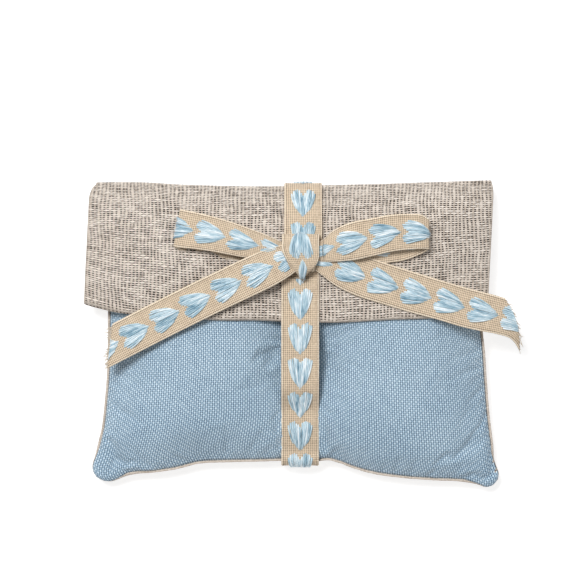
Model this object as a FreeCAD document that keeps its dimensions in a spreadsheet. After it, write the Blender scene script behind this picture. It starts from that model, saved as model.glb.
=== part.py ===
"""Envelope-style ring bearer pillow, tied with a ribbon and a bow.

The cushion lies on its linen back, +Z up, with the flap's fold at +Y.  The origin is the middle of the
object's footprint, on the surface that it lies on.  All sizes are in millimetres.

How it is made: a linen back and a blue canvas front are sewn together along the two sides and the
bottom.  The back runs on over the top edge as a faced flap.  A lining and a wadding pad fill the pocket.
One length of ribbon with woven hearts goes round the middle and is tied in a bow over the flap.
"""

import FreeCAD, Part
import math
import os
import Sketcher
from FreeCAD import Placement, Rotation, Vector

DRIVING = {
    # ribbon, hearts and sewing thread
    "ribbon_wide": 10.0,
    "ribbon_thick": 0.5,
    "ribbon_mid": -0.4,
    "heart_wide": 6.2,
    "heart_tall": 8.0,
    "heart_thick": 0.25,
    "heart_step": 9.15,
    "thread_wide": 0.3,
    # cloths
    "linen_thick": 0.8,
    "canvas_thick": 0.7,
    "facing_thick": 0.5,
    "lining_thick": 0.3,
    "fit_gap": 0.05,
    "clear_gap": 0.4,
    "run_gap": 0.65,
    # cushion
    "cushion_wide": 107.6,
    "cushion_top_wide": 103.0,
    "cushion_mid": -2.1,
    "corner_depth": 40.4,
    "cushion_top": 38.6,
    "side_pull": 4.3,
    "bottom_pull": 6.8,
    "seam_high": 6.5,
    "crown_high": 16.0,
    "base_inset": 9.0,
    "base_inset_top": 3.0,
    "channel_side": 0.4,
    "mouth_share": 0.87,
    # flap
    "fold_depth": 39.4,
    "fold_high": 6.9,
    "flap_left_edge": 57.9,
    "flap_left_fold": 55.0,
    "flap_right_edge": 48.7,
    "flap_right_fold": 50.0,
    "flap_drop": 3.9,
    "flap_corner_rise": 4.3,
    "flap_reach": 58.0,
    # knot and bow
    "knot_mid_x": -0.5,
    "knot_mid_y": 20.5,
    "knot_long": 11.4,
    "knot_base": 18.3,
    "knot_high": 3.95,
    "knot_tip_half": 1.6,
    "root_half": 2.2,
    "root_taper": 8.0,
    "loop_long": 27.0,
    "loop_root_high": 1.1,
    "loop_end_high": 2.8,
    "bottom_wrap": 34.2,
    "run_top": 14.3,
}

DOME_POWER = 4
FLAP_ACROSS_POWER = 3.2
FLAP_ALONG_POWER = 6
CLOTH_GRID = 13

doc = FreeCAD.newDocument("ring_bearer_pillow")


# ---------------------------------------------------------------- driving dimensions


def make_sheet():
    """The spreadsheet: one row per driving dimension, its name in A and its aliased value in B."""
    sheet = doc.addObject("Spreadsheet::Sheet", "dims")
    for row, (name, value) in enumerate(DRIVING.items(), start=1):
        sheet.set(f"A{row}", name)
        sheet.set(f"B{row}", str(value))
        sheet.setAlias(f"B{row}", name)
    doc.recompute()
    return sheet


dims = make_sheet()


class Size:
    """A length that knows both its value and the expression that binds it to the sheet."""

    def __init__(self, value, text):
        self.value = float(value)
        self.text = text

    @staticmethod
    def of(other):
        return other if isinstance(other, Size) else Size(other, f"({float(other)!r})")

    def join(self, other, sign, value):
        return Size(value, f"({self.text} {sign} {Size.of(other).text})")

    def __add__(self, other):
        return self.join(other, "+", self.value + Size.of(other).value)

    def __sub__(self, other):
        return self.join(other, "-", self.value - Size.of(other).value)

    def __mul__(self, other):
        return self.join(other, "*", self.value * Size.of(other).value)

    def __truediv__(self, other):
        return self.join(other, "/", self.value / Size.of(other).value)

    def __neg__(self):
        return Size(-self.value, f"(0 - {self.text})")


def size(name):
    """A driving dimension of the sheet."""
    return Size(getattr(dims, name), f"dims.{name}")


def num(name):
    """The plain value of a driving dimension."""
    return float(getattr(dims, name))


def bind(thing, prop, amount):
    """Binds one property of a feature to the sheet."""
    thing.setExpression(prop, Size.of(amount).text)


# ---------------------------------------------------------------- sketches


def origin_plane(body, role):
    return next(f for f in body.Origin.OriginFeatures if f.Role == role)


def counterclockwise_arc(start, middle, end):
    """The arc through three points, stored the way a sketch wants it."""
    circle = Part.Circle(start, middle, end)
    centre = circle.Center
    first = math.atan2(start.y - centre.y, start.x - centre.x)
    last = math.atan2(end.y - centre.y, end.x - centre.x)
    if (middle - start).cross(end - middle).z < 0:
        first, last = last, first
    if last < first:
        last += 2 * math.pi
    return Part.ArcOfCircle(Part.Circle(centre, Vector(0, 0, 1), circle.Radius), first, last)


def add_loop(sketch, points, bulges=None):
    """Adds one closed chain.  points are pairs of Size; bulges gives, for the edge that starts at that
    point, how far the edge bows out to its right (a Size), and every other edge is straight."""
    bulges = bulges or {}
    first = sketch.GeometryCount
    count = len(points)
    places = [Vector(x.value, y.value, 0) for x, y in points]
    for i, here in enumerate(places):
        there = places[(i + 1) % count]
        if i in bulges:
            along = (there - here).normalize()
            out = Vector(along.y, -along.x, 0) * bulges[i].value
            sketch.addGeometry(counterclockwise_arc(here, (here + there) / 2 + out, there), False)
        else:
            sketch.addGeometry(Part.LineSegment(here, there), False)

    def end_at(edge, place):
        return 1 if (sketch.Geometry[edge].StartPoint - place).Length < 1e-6 else 2

    for i in range(count):
        after = (i + 1) % count
        meet = places[after]
        sketch.addConstraint(
            Sketcher.Constraint(
                "Coincident", first + i, end_at(first + i, meet), first + after, end_at(first + after, meet)
            )
        )
    for i, (x, y) in enumerate(points):
        for kind, amount in (("DistanceX", x), ("DistanceY", y)):
            at = end_at(first + i, places[i])
            where = sketch.addConstraint(Sketcher.Constraint(kind, -1, 1, first + i, at, amount.value))
            sketch.setExpression(f"Constraints[{where}]", amount.text)
    for i, bow in bulges.items():
        (x0, y0), (x1, y1) = points[i], points[(i + 1) % count]
        chord_squared = (x1 - x0) * (x1 - x0) + (y1 - y0) * (y1 - y0)
        radius = (chord_squared / 4 + bow * bow) / (bow * 2)
        if radius.value < 0:
            radius = -radius
        where = sketch.addConstraint(Sketcher.Constraint("Radius", first + i, radius.value))
        sketch.setExpression(f"Constraints[{where}]", radius.text)


def new_sketch(body, name, role="XY_Plane", lift=None):
    """A sketch on one of the body's own planes, lifted along the plane's normal."""
    sketch = body.newObject("Sketcher::SketchObject", name)
    sketch.AttachmentSupport = [(origin_plane(body, role), "")]
    sketch.MapMode = "FlatFace"
    if lift is not None:
        sketch.AttachmentOffset = Placement(Vector(0, 0, lift.value), Rotation())
        bind(sketch, "AttachmentOffset.Base.z", lift)
    return sketch


def new_body(label):
    body = doc.addObject("PartDesign::Body", label)
    body.Label = label
    return body


def pad(body, sketch, length, symmetric=False):
    feature = body.newObject("PartDesign::Pad", "Pad")
    feature.Profile = sketch
    if symmetric:
        feature.SideType = "Symmetric"
    bind(feature, "Length", length)
    return feature


def cut_through(body, sketch):
    """A pocket through everything, both ways from the sketch."""
    feature = body.newObject("PartDesign::Pocket", "Pocket")
    feature.Profile = sketch
    feature.SideType = "Symmetric"
    feature.Type = "Length"
    feature.Length = 200
    return feature


def rectangle(x0, y0, x1, y1):
    return [(x0, y0), (x1, y0), (x1, y1), (x0, y1)]


# ---------------------------------------------------------------- the cushion's shape


def half_wide(y):
    """Half the cushion's width at y: the sides are pulled in between the corners."""
    middle = (num("cushion_top") - num("corner_depth")) / 2
    half = (num("cushion_top") + num("corner_depth")) / 2
    share = (y - middle) / half
    straight = num("cushion_wide") / 2 * (1 - share) / 2 + num("cushion_top_wide") / 2 * (1 + share) / 2
    return straight - num("side_pull") * (1 - share**2)


def bottom_edge(u):
    """Y of the bottom seam at u, from -1 at the left corner to 1 at the right one."""
    return -num("corner_depth") + num("bottom_pull") * (1 - u**2)


def cushion_point(u, v):
    """(x, y) on the cushion: u runs from left to right and v from the bottom seam to the top, -1 to 1."""
    low = bottom_edge(u)
    y = low + (v + 1) / 2 * (num("cushion_top") - low)
    return num("cushion_mid") + u * half_wide(y), y


def cushion_share(x, y):
    """The (u, v) of a point: the other way round from cushion_point."""
    u = (x - num("cushion_mid")) / half_wide(y)
    low = bottom_edge(max(-1.0, min(1.0, u)))
    return u, 2 * (y - low) / (num("cushion_top") - low) - 1


def dome(x, y):
    """1 over the middle of the cushion, falling to 0 at its seams."""
    u, v = cushion_share(x, y)
    return (1 - abs(u) ** DOME_POWER) * (1 - abs(v) ** DOME_POWER)


def front_top(x, y):
    base = num("seam_high") + num("fit_gap") + num("canvas_thick")
    return base + (num("crown_high") - base) * dome(x, y)


def front_under(x, y):
    return front_top(x, y) - num("canvas_thick")


def lining_under(x, y):
    return front_under(x, y) - 2 * num("fit_gap") - num("lining_thick")


def flap_under(x, y):
    """Under side of the flap: it rises from the fold and lies over the front."""
    across = abs(x - num("cushion_mid")) / num("flap_reach")
    along = max(0.0, y) / num("fold_depth")
    rise = num("crown_high") + num("clear_gap") - num("fold_high")
    return num("fold_high") + rise * (1 - across**FLAP_ACROSS_POWER) * (1 - along**FLAP_ALONG_POWER)


def flap_seam(x, y):
    return flap_under(x, y) + num("facing_thick")


def flap_top(x, y):
    return flap_seam(x, y) + num("fit_gap") + num("linen_thick")


def flap_point(u, v):
    """(x, y) on the flap: u runs from left to right and v from the free edge to the fold, 0 to 1."""
    left = -num("flap_left_edge") * (1 - v) - num("flap_left_fold") * v
    right = num("flap_right_edge") * (1 - v) + num("flap_right_fold") * v
    free = num("flap_drop") + num("flap_corner_rise") * (1 - u) ** 4 + 0.6 * u**2
    return left + u * (right - left), free + v * (num("fold_depth") - free)


def front_run_under(x, y):
    """Under side of the ribbon down the front: it bears on the canvas and bridges the flap's edge."""
    climb_start, climb_end = -14.0, num("flap_drop")
    share = max(0.0, min(1.0, (y - climb_start) / (climb_end - climb_start)))
    flap_thick = num("facing_thick") + num("fit_gap") + num("linen_thick")
    step = (2 * num("clear_gap") + flap_thick - num("run_gap")) * share**2 * (3 - 2 * share)
    return front_top(num("ribbon_mid"), y) + num("run_gap") + step


def front_run_top(x, y):
    return front_run_under(x, y) + num("ribbon_thick")


def top_run_under(x, y):
    return flap_top(num("ribbon_mid"), y) + num("fit_gap")


def top_run_top(x, y):
    return top_run_under(x, y) + num("ribbon_thick")


# ---------------------------------------------------------------- cloths between two height functions


def raised(under, amount):
    return lambda x, y: under(x, y) + amount


def cloth_shape(place, u_range, v_range, under, over):
    """A closed solid between two smooth surfaces: place maps (u, v) to (x, y), and under and over are the
    heights of its two faces there."""

    def surface(height):
        rows = []
        for i in range(CLOTH_GRID):
            u = u_range[0] + (u_range[1] - u_range[0]) * i / (CLOTH_GRID - 1)
            row = []
            for j in range(CLOTH_GRID):
                v = v_range[0] + (v_range[1] - v_range[0]) * j / (CLOTH_GRID - 1)
                x, y = place(u, v)
                row.append(Vector(x, y, height(x, y)))
            rows.append(row)
        made = Part.BSplineSurface()
        made.interpolate(rows)
        return made

    low, high = surface(under), surface(over)
    faces = [low.toShape(), high.toShape()]
    for iso in ("uIso", "vIso"):
        for at in (0.0, 1.0):
            below = getattr(low, iso)(at).toShape()
            above = getattr(high, iso)(at).toShape()
            faces.append(Part.makeRuledSurface(below, above))
    shell = Part.makeShell(faces)
    shell.sewShape()
    solid = Part.makeSolid(shell)
    if solid.Volume < 0:
        solid.reverse()
    return solid


def cloth(label, place, u_range, v_range, under, over):
    piece = doc.addObject("Part::Feature", label)
    piece.Label = label
    piece.Shape = cloth_shape(place, u_range, v_range, under, over)
    piece.Placement = Placement()
    return piece


def ribbon_strip(u, v):
    """(x, y) on a straight ribbon down the middle: u from -1 to 1 across it, and v is y itself."""
    return num("ribbon_mid") + u * num("ribbon_wide") / 2, v


# ---------------------------------------------------------------- cushion: back, front, lining, pad


def seam_outline(inset, inset_top):
    """The sewn outline, inset: bottom edge and sides bowed in between the corners."""
    mid = size("cushion_mid")
    low = -(size("corner_depth") - inset)
    high = size("cushion_top") - inset_top
    wide_low = size("cushion_wide") / 2 - inset
    wide_high = size("cushion_top_wide") / 2 - inset
    points = [(mid - wide_low, low), (mid + wide_low, low), (mid + wide_high, high), (mid - wide_high, high)]
    bulges = {0: -size("bottom_pull"), 1: -size("side_pull"), 3: -size("side_pull")}
    return points, bulges


def tray(label, levels, hollow_levels):
    """A dished cloth: a ruled loft between the outlines of levels, less the one of hollow_levels.
    A level is (height, inset at the sides and bottom, inset at the top)."""
    body = new_body(label)
    for kind, stack in (("PartDesign::AdditiveLoft", levels), ("PartDesign::SubtractiveLoft", hollow_levels)):
        sketches = []
        for number, (height, inset, inset_top) in enumerate(stack):
            sketch = new_sketch(body, f"{kind[12:15]}{number}", "XY_Plane", Size.of(height))
            add_loop(sketch, *seam_outline(Size.of(inset), Size.of(inset_top)))
            sketches.append(sketch)
        doc.recompute()
        loft = body.newObject(kind, "Loft")
        loft.Profile = sketches[0]
        loft.Sections = sketches[1:]
        loft.Ruled = True
        doc.recompute()
    return body


def channel_depth():
    """How deep the ribbon is pressed into the back: the ribbon, its hearts and a little room."""
    return size("ribbon_thick") + size("heart_thick") + 0.15


def make_back_panel():
    seam, thick = size("seam_high"), size("linen_thick")
    inset, inset_top = size("base_inset"), size("base_inset_top")
    outside = [(0, inset, inset_top), (seam, 0, 0)]
    inside = [(thick, inset + 0.3, inset_top + 0.9), (seam, 1.0, 1.0)]
    body = tray("back_panel", outside, inside)
    half = size("ribbon_wide") / 2 + size("channel_side")
    mid = size("ribbon_mid")
    depth = channel_depth()
    low = -(size("corner_depth") - size("bottom_pull") - inset)
    high = size("cushion_top") - inset_top
    ridge = new_sketch(body, "Ridge", "XY_Plane", depth)
    add_loop(ridge, rectangle(mid - half - thick, low - 0.2, mid + half + thick, high - 0.6))
    pad(body, ridge, thick)
    channel = new_sketch(body, "Channel", "XY_Plane")
    add_loop(channel, rectangle(mid - half, low - 2, mid + half, high + 2))
    groove = body.newObject("PartDesign::Pocket", "Pocket")
    groove.Profile = channel
    groove.Reversed = True
    bind(groove, "Length", depth)
    doc.recompute()
    return body


def make_back_lining():
    floor = channel_depth() + size("linen_thick") + 0.1
    thick = size("lining_thick")
    seam = size("seam_high")
    inset = size("base_inset")
    outside = [(floor, inset - 0.3, size("base_inset_top") + 1.4), (seam - 0.2, 1.7, 1.7)]
    inside = [(floor + thick, inset - 0.2, size("base_inset_top") + 1.8), (seam - 0.2, 2.1, 2.1)]
    return tray("back_lining", outside, inside)


def make_front():
    mouth = num("mouth_share")
    cloth("front_panel", cushion_point, (-1, 1), (-1, mouth), front_under, front_top)
    lining_top = raised(lining_under, num("lining_thick"))
    cloth("front_lining", cushion_point, (-0.96, 0.96), (-0.94, mouth - 0.02), lining_under, lining_top)


def make_filling_pad():
    floor = channel_depth().value + num("linen_thick") + num("lining_thick") + 0.3
    rim = num("seam_high") + 0.6

    def pad_under(x, y):
        return rim - (rim - floor) * dome(x, y)

    cloth("filling_pad", cushion_point, (-0.92, 0.92), (-0.88, 0.84), pad_under, raised(lining_under, -0.1))


def make_seam_threads():
    """The sewing thread of the three closed seams, just inside the rim: each is a length of a torus."""
    inset = Size.of(1.6)
    corners, bows = seam_outline(inset, inset)
    for label, edge in (("seam_thread_bottom", 0), ("seam_thread_right", 1), ("seam_thread_left", 3)):
        (x0, y0), (x1, y1) = corners[edge], corners[(edge + 1) % 4]
        bow = -bows[edge]
        chord_squared = (x1 - x0) * (x1 - x0) + (y1 - y0) * (y1 - y0)
        radius = (chord_squared / 4 + bow * bow) / (bow * 2)
        torus = doc.addObject("Part::Torus", label)
        torus.Label = label
        bind(torus, "Radius1", radius)
        bind(torus, "Radius2", size("thread_wide") / 2)
        sweep = 1.7 * math.degrees(math.asin(math.sqrt(chord_squared.value) / 2 / radius.value))
        torus.Angle3 = sweep
        start, end = Vector(x0.value, y0.value, 0), Vector(x1.value, y1.value, 0)
        along = (end - start).normalize()
        out = Vector(along.y, -along.x, 0)
        centre = (start + end) / 2 + out * (radius.value - bow.value)
        centre.z = num("seam_high")
        turn = math.degrees(math.atan2(out.y, out.x)) + 180 - sweep / 2
        torus.Placement = Placement(centre, Rotation(Vector(0, 0, 1), turn))


def make_mouth_stitches():
    """The row of stitches that holds the hem of the pocket's mouth, under the flap."""
    row, long, step, radius = num("mouth_share") - 0.075, 2.1, 3.0, 0.1
    count = 30
    stitches = []
    for i in range(count):
        middle = (i - (count - 1) / 2) * step
        ends = []
        for side in (-1, 1):
            x = num("cushion_mid") + middle + side * long / 2
            y = cushion_point((x - num("cushion_mid")) / half_wide(30), row)[1]
            ends.append(Vector(x, y, front_top(x, y) + radius + 0.03))
        run = ends[1] - ends[0]
        stitches.append(Part.makeCylinder(radius, run.Length, ends[0], run))
    piece = doc.addObject("Part::Feature", "mouth_stitches")
    piece.Label = "mouth_stitches"
    piece.Shape = Part.makeCompound(stitches)
    piece.Placement = Placement()


def make_flap():
    cloth("flap_facing", flap_point, (0, 1), (0, 1), flap_under, flap_seam)
    cloth("flap_outer", flap_point, (0, 1), (0, 1), raised(flap_seam, num("fit_gap")), flap_top)


# ---------------------------------------------------------------- hearts


def heart_points(mid_x, mid_y, point_to):
    """A heart's four corners and lobes; point_to is 1 or -1, the way along Y that its tip points."""
    wide, tall = size("heart_wide"), size("heart_tall")
    tip = (mid_x, mid_y + tall * 0.5 * point_to)
    near = (mid_x - wide * 0.5 * point_to, mid_y - tall * 0.22 * point_to)
    far = (mid_x + wide * 0.5 * point_to, mid_y - tall * 0.22 * point_to)
    notch = (mid_x, mid_y - tall * 0.3 * point_to)
    points = [tip, near, notch, far]
    bulges = {0: wide * 0.07, 1: wide * 0.24, 2: wide * 0.24, 3: wide * 0.07}
    return points, bulges


def swapped(outline):
    """The same outline with its tip along X in place of Y, still going round the same way."""
    points, bulges = outline
    turned = [(y, -x) for x, y in points]
    return turned, bulges


def repeat(body, feature, axis_role, count, step, backwards=False):
    """The feature again, count times in all."""
    pattern = body.newObject("PartDesign::LinearPattern", "LinearPattern")
    pattern.Originals = [feature]
    pattern.Direction = (origin_plane(body, axis_role), [""])
    pattern.Reversed = backwards
    pattern.Mode = "Spacing"
    bind(pattern, "Offset", step)
    pattern.Occurrences = count
    body.Tip = pattern
    return pattern


def flat_hearts(label, points_along, first, count, base, place):
    """A row of hearts on a flat stretch of ribbon, along the body's own X or Y."""
    body = new_body(label)
    sketch = new_sketch(body, "Heart", "XY_Plane", base)
    zero = Size(0, "0")
    if points_along in ("+X", "-X"):
        way = 1 if points_along == "+X" else -1
        outline = swapped(heart_points(zero, first, way))
        role = "X_Axis"
    else:
        way = 1 if points_along == "+Y" else -1
        outline = heart_points(size("ribbon_mid"), first, way)
        role = "Y_Axis"
    add_loop(sketch, *outline)
    feature = pad(body, sketch, size("heart_thick"))
    doc.recompute()
    if count > 1:
        repeat(body, feature, role, count, size("heart_step"))
    body.Placement = place
    return body


def run_hearts(label, first, count, over, y_range):
    """Hearts on a curved run of the ribbon: upright prisms, kept where they meet a thin skin on it."""
    prisms = new_body(f"{label}_prisms")
    sketch = new_sketch(prisms, "Heart", "XY_Plane")
    add_loop(sketch, *heart_points(size("ribbon_mid"), first, -1))
    feature = pad(prisms, sketch, size("crown_high") * 2)
    doc.recompute()
    if count > 1:
        repeat(prisms, feature, "Y_Axis", count, size("heart_step"), backwards=True)
    low, high = raised(over, 0.03), raised(over, 0.03 + num("heart_thick"))
    skin = cloth(f"{label}_skin", ribbon_strip, (-0.98, 0.98), y_range, low, high)
    both = doc.addObject("Part::Common", label)
    both.Base = skin
    both.Tool = prisms
    both.Label = label
    return both


# ---------------------------------------------------------------- ribbon round the middle


def make_back_run():
    """The ribbon under the cushion, up its bottom end to the seam and up its top end to the fold."""
    body = new_body("ribbon_back_run")
    sketch = new_sketch(body, "Profile", "YZ_Plane", size("ribbon_mid"))
    base = size("heart_thick")
    thick = size("ribbon_thick")
    top = size("cushion_top")
    toe = -(size("corner_depth") - size("bottom_pull"))
    seam = size("seam_high")
    inset, inset_top = size("base_inset"), size("base_inset_top")
    lower_face = [
        (top + 0.65, seam - 0.2),
        (top - inset_top + 0.95, base),
        (toe + inset - 1.65, base),
        (toe - 0.6, seam - 0.3),
    ]
    upper_face = [
        (toe - 0.02, seam - 0.3),
        (toe + inset - 1.35, base + thick),
        (top - inset_top + 0.5, base + thick),
        (top + 0.1, seam - 0.2),
    ]
    add_loop(sketch, lower_face + upper_face)
    pad(body, sketch, size("ribbon_wide"), symmetric=True)
    doc.recompute()
    flat_hearts("hearts_back_run", "+Y", -size("heart_step") * 2, 6, Size(0, "0"), Placement())


def make_top_run():
    """The ribbon from the fold, over the flap and on under the knot."""
    bottom = num("run_top") + 1.2
    cloth("ribbon_top_run", ribbon_strip, (-1, 1), (bottom, num("fold_depth")), top_run_under, top_run_top)
    first = size("knot_mid_y") + size("knot_long") / 2 + size("heart_tall") / 2 + 1.1
    run_hearts("hearts_top_run", first, 1, top_run_top, (bottom, num("fold_depth")))


def make_front_run():
    """The ribbon from the bottom seam, up the front and over the flap's edge to the knot."""
    ends = (-num("bottom_wrap"), num("run_top"))
    cloth("ribbon_front_run", ribbon_strip, (-1, 1), ends, front_run_under, front_run_top)
    first = size("run_top") - size("heart_tall") / 2 - 2.2
    run_hearts("hearts_front_run", first, 5, front_run_top, ends)


# ---------------------------------------------------------------- knot


def stadium(low_y, high_y, low_z, high_z):
    """A flat ring's side view: a rectangle whose two ends are rounded."""
    points = rectangle(low_y, low_z, high_y, high_z)
    bow = (high_z - low_z) * 0.36
    return points, {1: bow, 3: bow}


def shield_corners(body):
    """Cuts the two lower corners of the knot away, so that it narrows to where the ribbon tucks in."""
    mid = size("knot_mid_x")
    half = size("ribbon_wide") / 2
    tip = size("knot_tip_half")
    waist = size("knot_mid_y") - 1
    foot = size("knot_mid_y") - size("knot_long") / 2 - 3
    sketch = new_sketch(body, "Corners", "XY_Plane")
    right = [(mid + half + 0.5, waist + 0.5), (mid + tip, foot), (mid + half + 0.5, foot)]
    left = [(mid - half - 0.5, foot), (mid - tip, foot), (mid - half - 0.5, waist + 0.5)]
    add_loop(sketch, [right[0], right[1], right[2]])
    add_loop(sketch, [left[0], left[1], left[2]])
    cut_through(body, sketch)


def make_knot():
    thick, gap = size("ribbon_thick"), size("fit_gap")
    low = size("knot_mid_y") - size("knot_long") / 2
    high = size("knot_mid_y") + size("knot_long") / 2
    base = size("knot_base")
    top = base + size("knot_high")
    wrap = new_body("knot_wrap")
    outside = new_sketch(wrap, "Outside", "YZ_Plane", size("knot_mid_x"))
    add_loop(outside, *stadium(low + 1.4, high - 1.4, base, top))
    add_loop(outside, *stadium(low + 1.6, high - 1.6, base + thick, top - thick))
    pad(wrap, outside, size("ribbon_wide"), symmetric=True)
    shield_corners(wrap)
    core = new_body("knot_core")
    inside = new_sketch(core, "Inside", "YZ_Plane", size("knot_mid_x"))
    add_loop(inside, *stadium(low + 1.9, high - 1.9, base + thick + gap, top - thick - gap))
    pad(core, inside, size("ribbon_wide") - 0.4, symmetric=True)
    shield_corners(core)
    doc.recompute()
    flat_hearts("heart_knot", "+Y", size("knot_mid_y") + 0.3, 1, top, Placement())


# ---------------------------------------------------------------- bow


def bow_place(root, heading, tilt):
    """Where a piece of the bow is: its own X runs out from the knot, turned by heading and tipped down."""
    level = Rotation(Vector(0, 0, 1), heading)
    tipped = Rotation(Vector(0, 1, 0), tilt)
    return Placement(Vector(*root), level * tipped)


def make_tail(name, root, heading, tilt, long_left, long_right, hearts):
    """A flat ribbon end: narrow at the knot, full width further out, cut off at a slant."""
    body = new_body(f"bow_tail_{name}")
    half, narrow, taper = size("ribbon_wide") / 2, size("root_half"), size("root_taper")
    sketch = new_sketch(body, "Plan", "XY_Plane", -size("ribbon_thick"))
    zero = Size(0, "0")
    outline = [
        (zero, -narrow),
        (taper, -half),
        (Size.of(long_right), -half),
        (Size.of(long_left), half),
        (taper, half),
        (zero, narrow),
    ]
    add_loop(sketch, outline)
    pad(body, sketch, size("ribbon_thick"))
    place = bow_place(root, heading, tilt)
    body.Placement = place
    doc.recompute()
    away, count = hearts
    flat_hearts(f"hearts_tail_{name}", away, Size.of(9.5), count, zero, place)


def make_loop(name, root, heading, tilt, hearts):
    """One ear of the bow: out from the knot, round, and back under itself."""
    body = new_body(f"bow_loop_{name}")
    long, thick = size("loop_long"), size("ribbon_thick")
    root_high, end_high = size("loop_root_high"), size("loop_end_high")
    zero = Size(0, "0")
    side = new_sketch(body, "Side", "XZ_Plane")
    outer = [(zero, -root_high), (long, -end_high), (long, zero), (zero, zero)]
    add_loop(side, outer, {1: end_high * 0.45})
    step_in = size("root_taper") * 0.6
    inner = [
        (step_in, -root_high - 0.12 + thick),
        (long, -end_high + thick),
        (long, -thick),
        (step_in, -thick),
    ]
    add_loop(side, inner, {1: (end_high - thick * 2) * 0.42})
    pad(body, side, size("ribbon_wide"), symmetric=True)
    half, narrow, taper = size("ribbon_wide") / 2, size("root_half"), size("root_taper")
    corners = new_sketch(body, "Corners", "XY_Plane")
    add_loop(corners, [(Size.of(-1), -narrow), (Size.of(-1), -half - 1), (taper, -half - 1), (taper, -half)])
    add_loop(corners, [(Size.of(-1), narrow), (taper, half), (taper, half + 1), (Size.of(-1), half + 1)])
    cut_through(body, corners)
    place = bow_place(root, heading, tilt)
    body.Placement = place
    doc.recompute()
    away, count = hearts
    flat_hearts(f"hearts_loop_{name}", away, Size.of(5.6), count, zero, place)


def make_bow():
    make_loop("left", (-6.4, 22.5, 19.7), 168.8, 0.3, ("-X", 3))
    make_tail("left", (-6.8, 18.9, 21.4), 206.0, 5.5, 52.6, 45.5, ("-X", 4))
    make_tail("right", (5.8, 18.8, 19.0), -17.0, 3.0, 48.2, 56.2, ("+X", 5))
    make_loop("right", (5.4, 22.6, 20.85), 9.4, -1.5, ("+X", 3))


# ---------------------------------------------------------------- build and export


make_back_panel()
make_back_lining()
make_front()
make_filling_pad()
make_seam_threads()
make_mouth_stitches()
make_flap()
make_back_run()
make_top_run()
make_front_run()
make_knot()
make_bow()
doc.recompute()

HELPERS = ("_prisms", "_skin")


def sub_parts():
    """Every labelled piece that is a part of the object, and not a helper of another one."""
    kinds = ("PartDesign::Body", "Part::Feature", "Part::Common", "Part::Torus")
    return [o for o in doc.Objects if o.TypeId in kinds and not o.Label.endswith(HELPERS)]


def check(thing):
    if "Invalid" in thing.State or "Error" in thing.State:
        raise RuntimeError(f"{thing.Label} failed: {thing.State}")


for thing in doc.Objects:
    check(thing)
os.makedirs("parts", exist_ok=True)
for stale in os.listdir("parts"):
    if stale.endswith(".step"):
        os.remove(os.path.join("parts", stale))
for part in sub_parts():
    shape = part.Shape
    if shape.isNull() or not shape.isValid() or not shape.Solids:
        raise RuntimeError(f"{part.Label} has no valid solid")
    shape.exportStep(os.path.join("parts", f"{part.Label}.step"))
    box = shape.BoundBox
    print(
        f"{part.Label:20} solids {len(shape.Solids):3d} volume {shape.Volume:9.1f} "
        f"x {box.XMin:6.1f} {box.XMax:6.1f} y {box.YMin:6.1f} {box.YMax:6.1f} z {box.ZMin:6.2f} {box.ZMax:6.2f}"
    )
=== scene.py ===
"""Looks for the ring bearer pillow: a small cushion with a linen flap, tied with a ribbon of woven hearts."""

import math

import bpy
import numpy as np
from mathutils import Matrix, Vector
from mathutils.bvhtree import BVHTree


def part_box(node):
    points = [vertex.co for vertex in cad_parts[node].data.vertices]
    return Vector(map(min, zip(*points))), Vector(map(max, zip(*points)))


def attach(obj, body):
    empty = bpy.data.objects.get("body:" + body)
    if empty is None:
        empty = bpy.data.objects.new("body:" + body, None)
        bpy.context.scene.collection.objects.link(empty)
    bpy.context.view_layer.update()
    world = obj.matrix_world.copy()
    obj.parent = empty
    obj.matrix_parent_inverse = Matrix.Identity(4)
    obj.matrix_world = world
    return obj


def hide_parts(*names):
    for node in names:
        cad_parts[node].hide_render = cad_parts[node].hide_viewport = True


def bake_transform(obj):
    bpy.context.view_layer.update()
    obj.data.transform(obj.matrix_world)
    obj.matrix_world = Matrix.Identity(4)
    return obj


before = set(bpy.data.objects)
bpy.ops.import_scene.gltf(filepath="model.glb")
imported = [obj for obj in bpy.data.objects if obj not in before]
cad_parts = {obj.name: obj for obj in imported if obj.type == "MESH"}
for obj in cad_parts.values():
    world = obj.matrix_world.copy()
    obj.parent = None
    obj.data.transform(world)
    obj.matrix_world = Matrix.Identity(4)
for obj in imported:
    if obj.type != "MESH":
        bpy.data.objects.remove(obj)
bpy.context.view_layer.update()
MM = 0.001
rng = np.random.default_rng(11)

# ---- places taken from the CAD, in millimetres


def cad_box(node):
    lo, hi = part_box(node)
    return np.array(lo) / MM, np.array(hi) / MM


RUN_LO, RUN_HI = cad_box("ribbon_front_run")
FLAP_LO, FLAP_HI = cad_box("flap_outer")
RIBBON_WIDE = float(RUN_HI[0] - RUN_LO[0])
RIBBON_MID = float(RUN_HI[0] + RUN_LO[0]) / 2
FOLD_Y = float(FLAP_HI[1])
CROWN = float(cad_box("front_panel")[1][2])
FLAP_CROWN = float(FLAP_HI[2])

# ---- small numeric helpers


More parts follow.
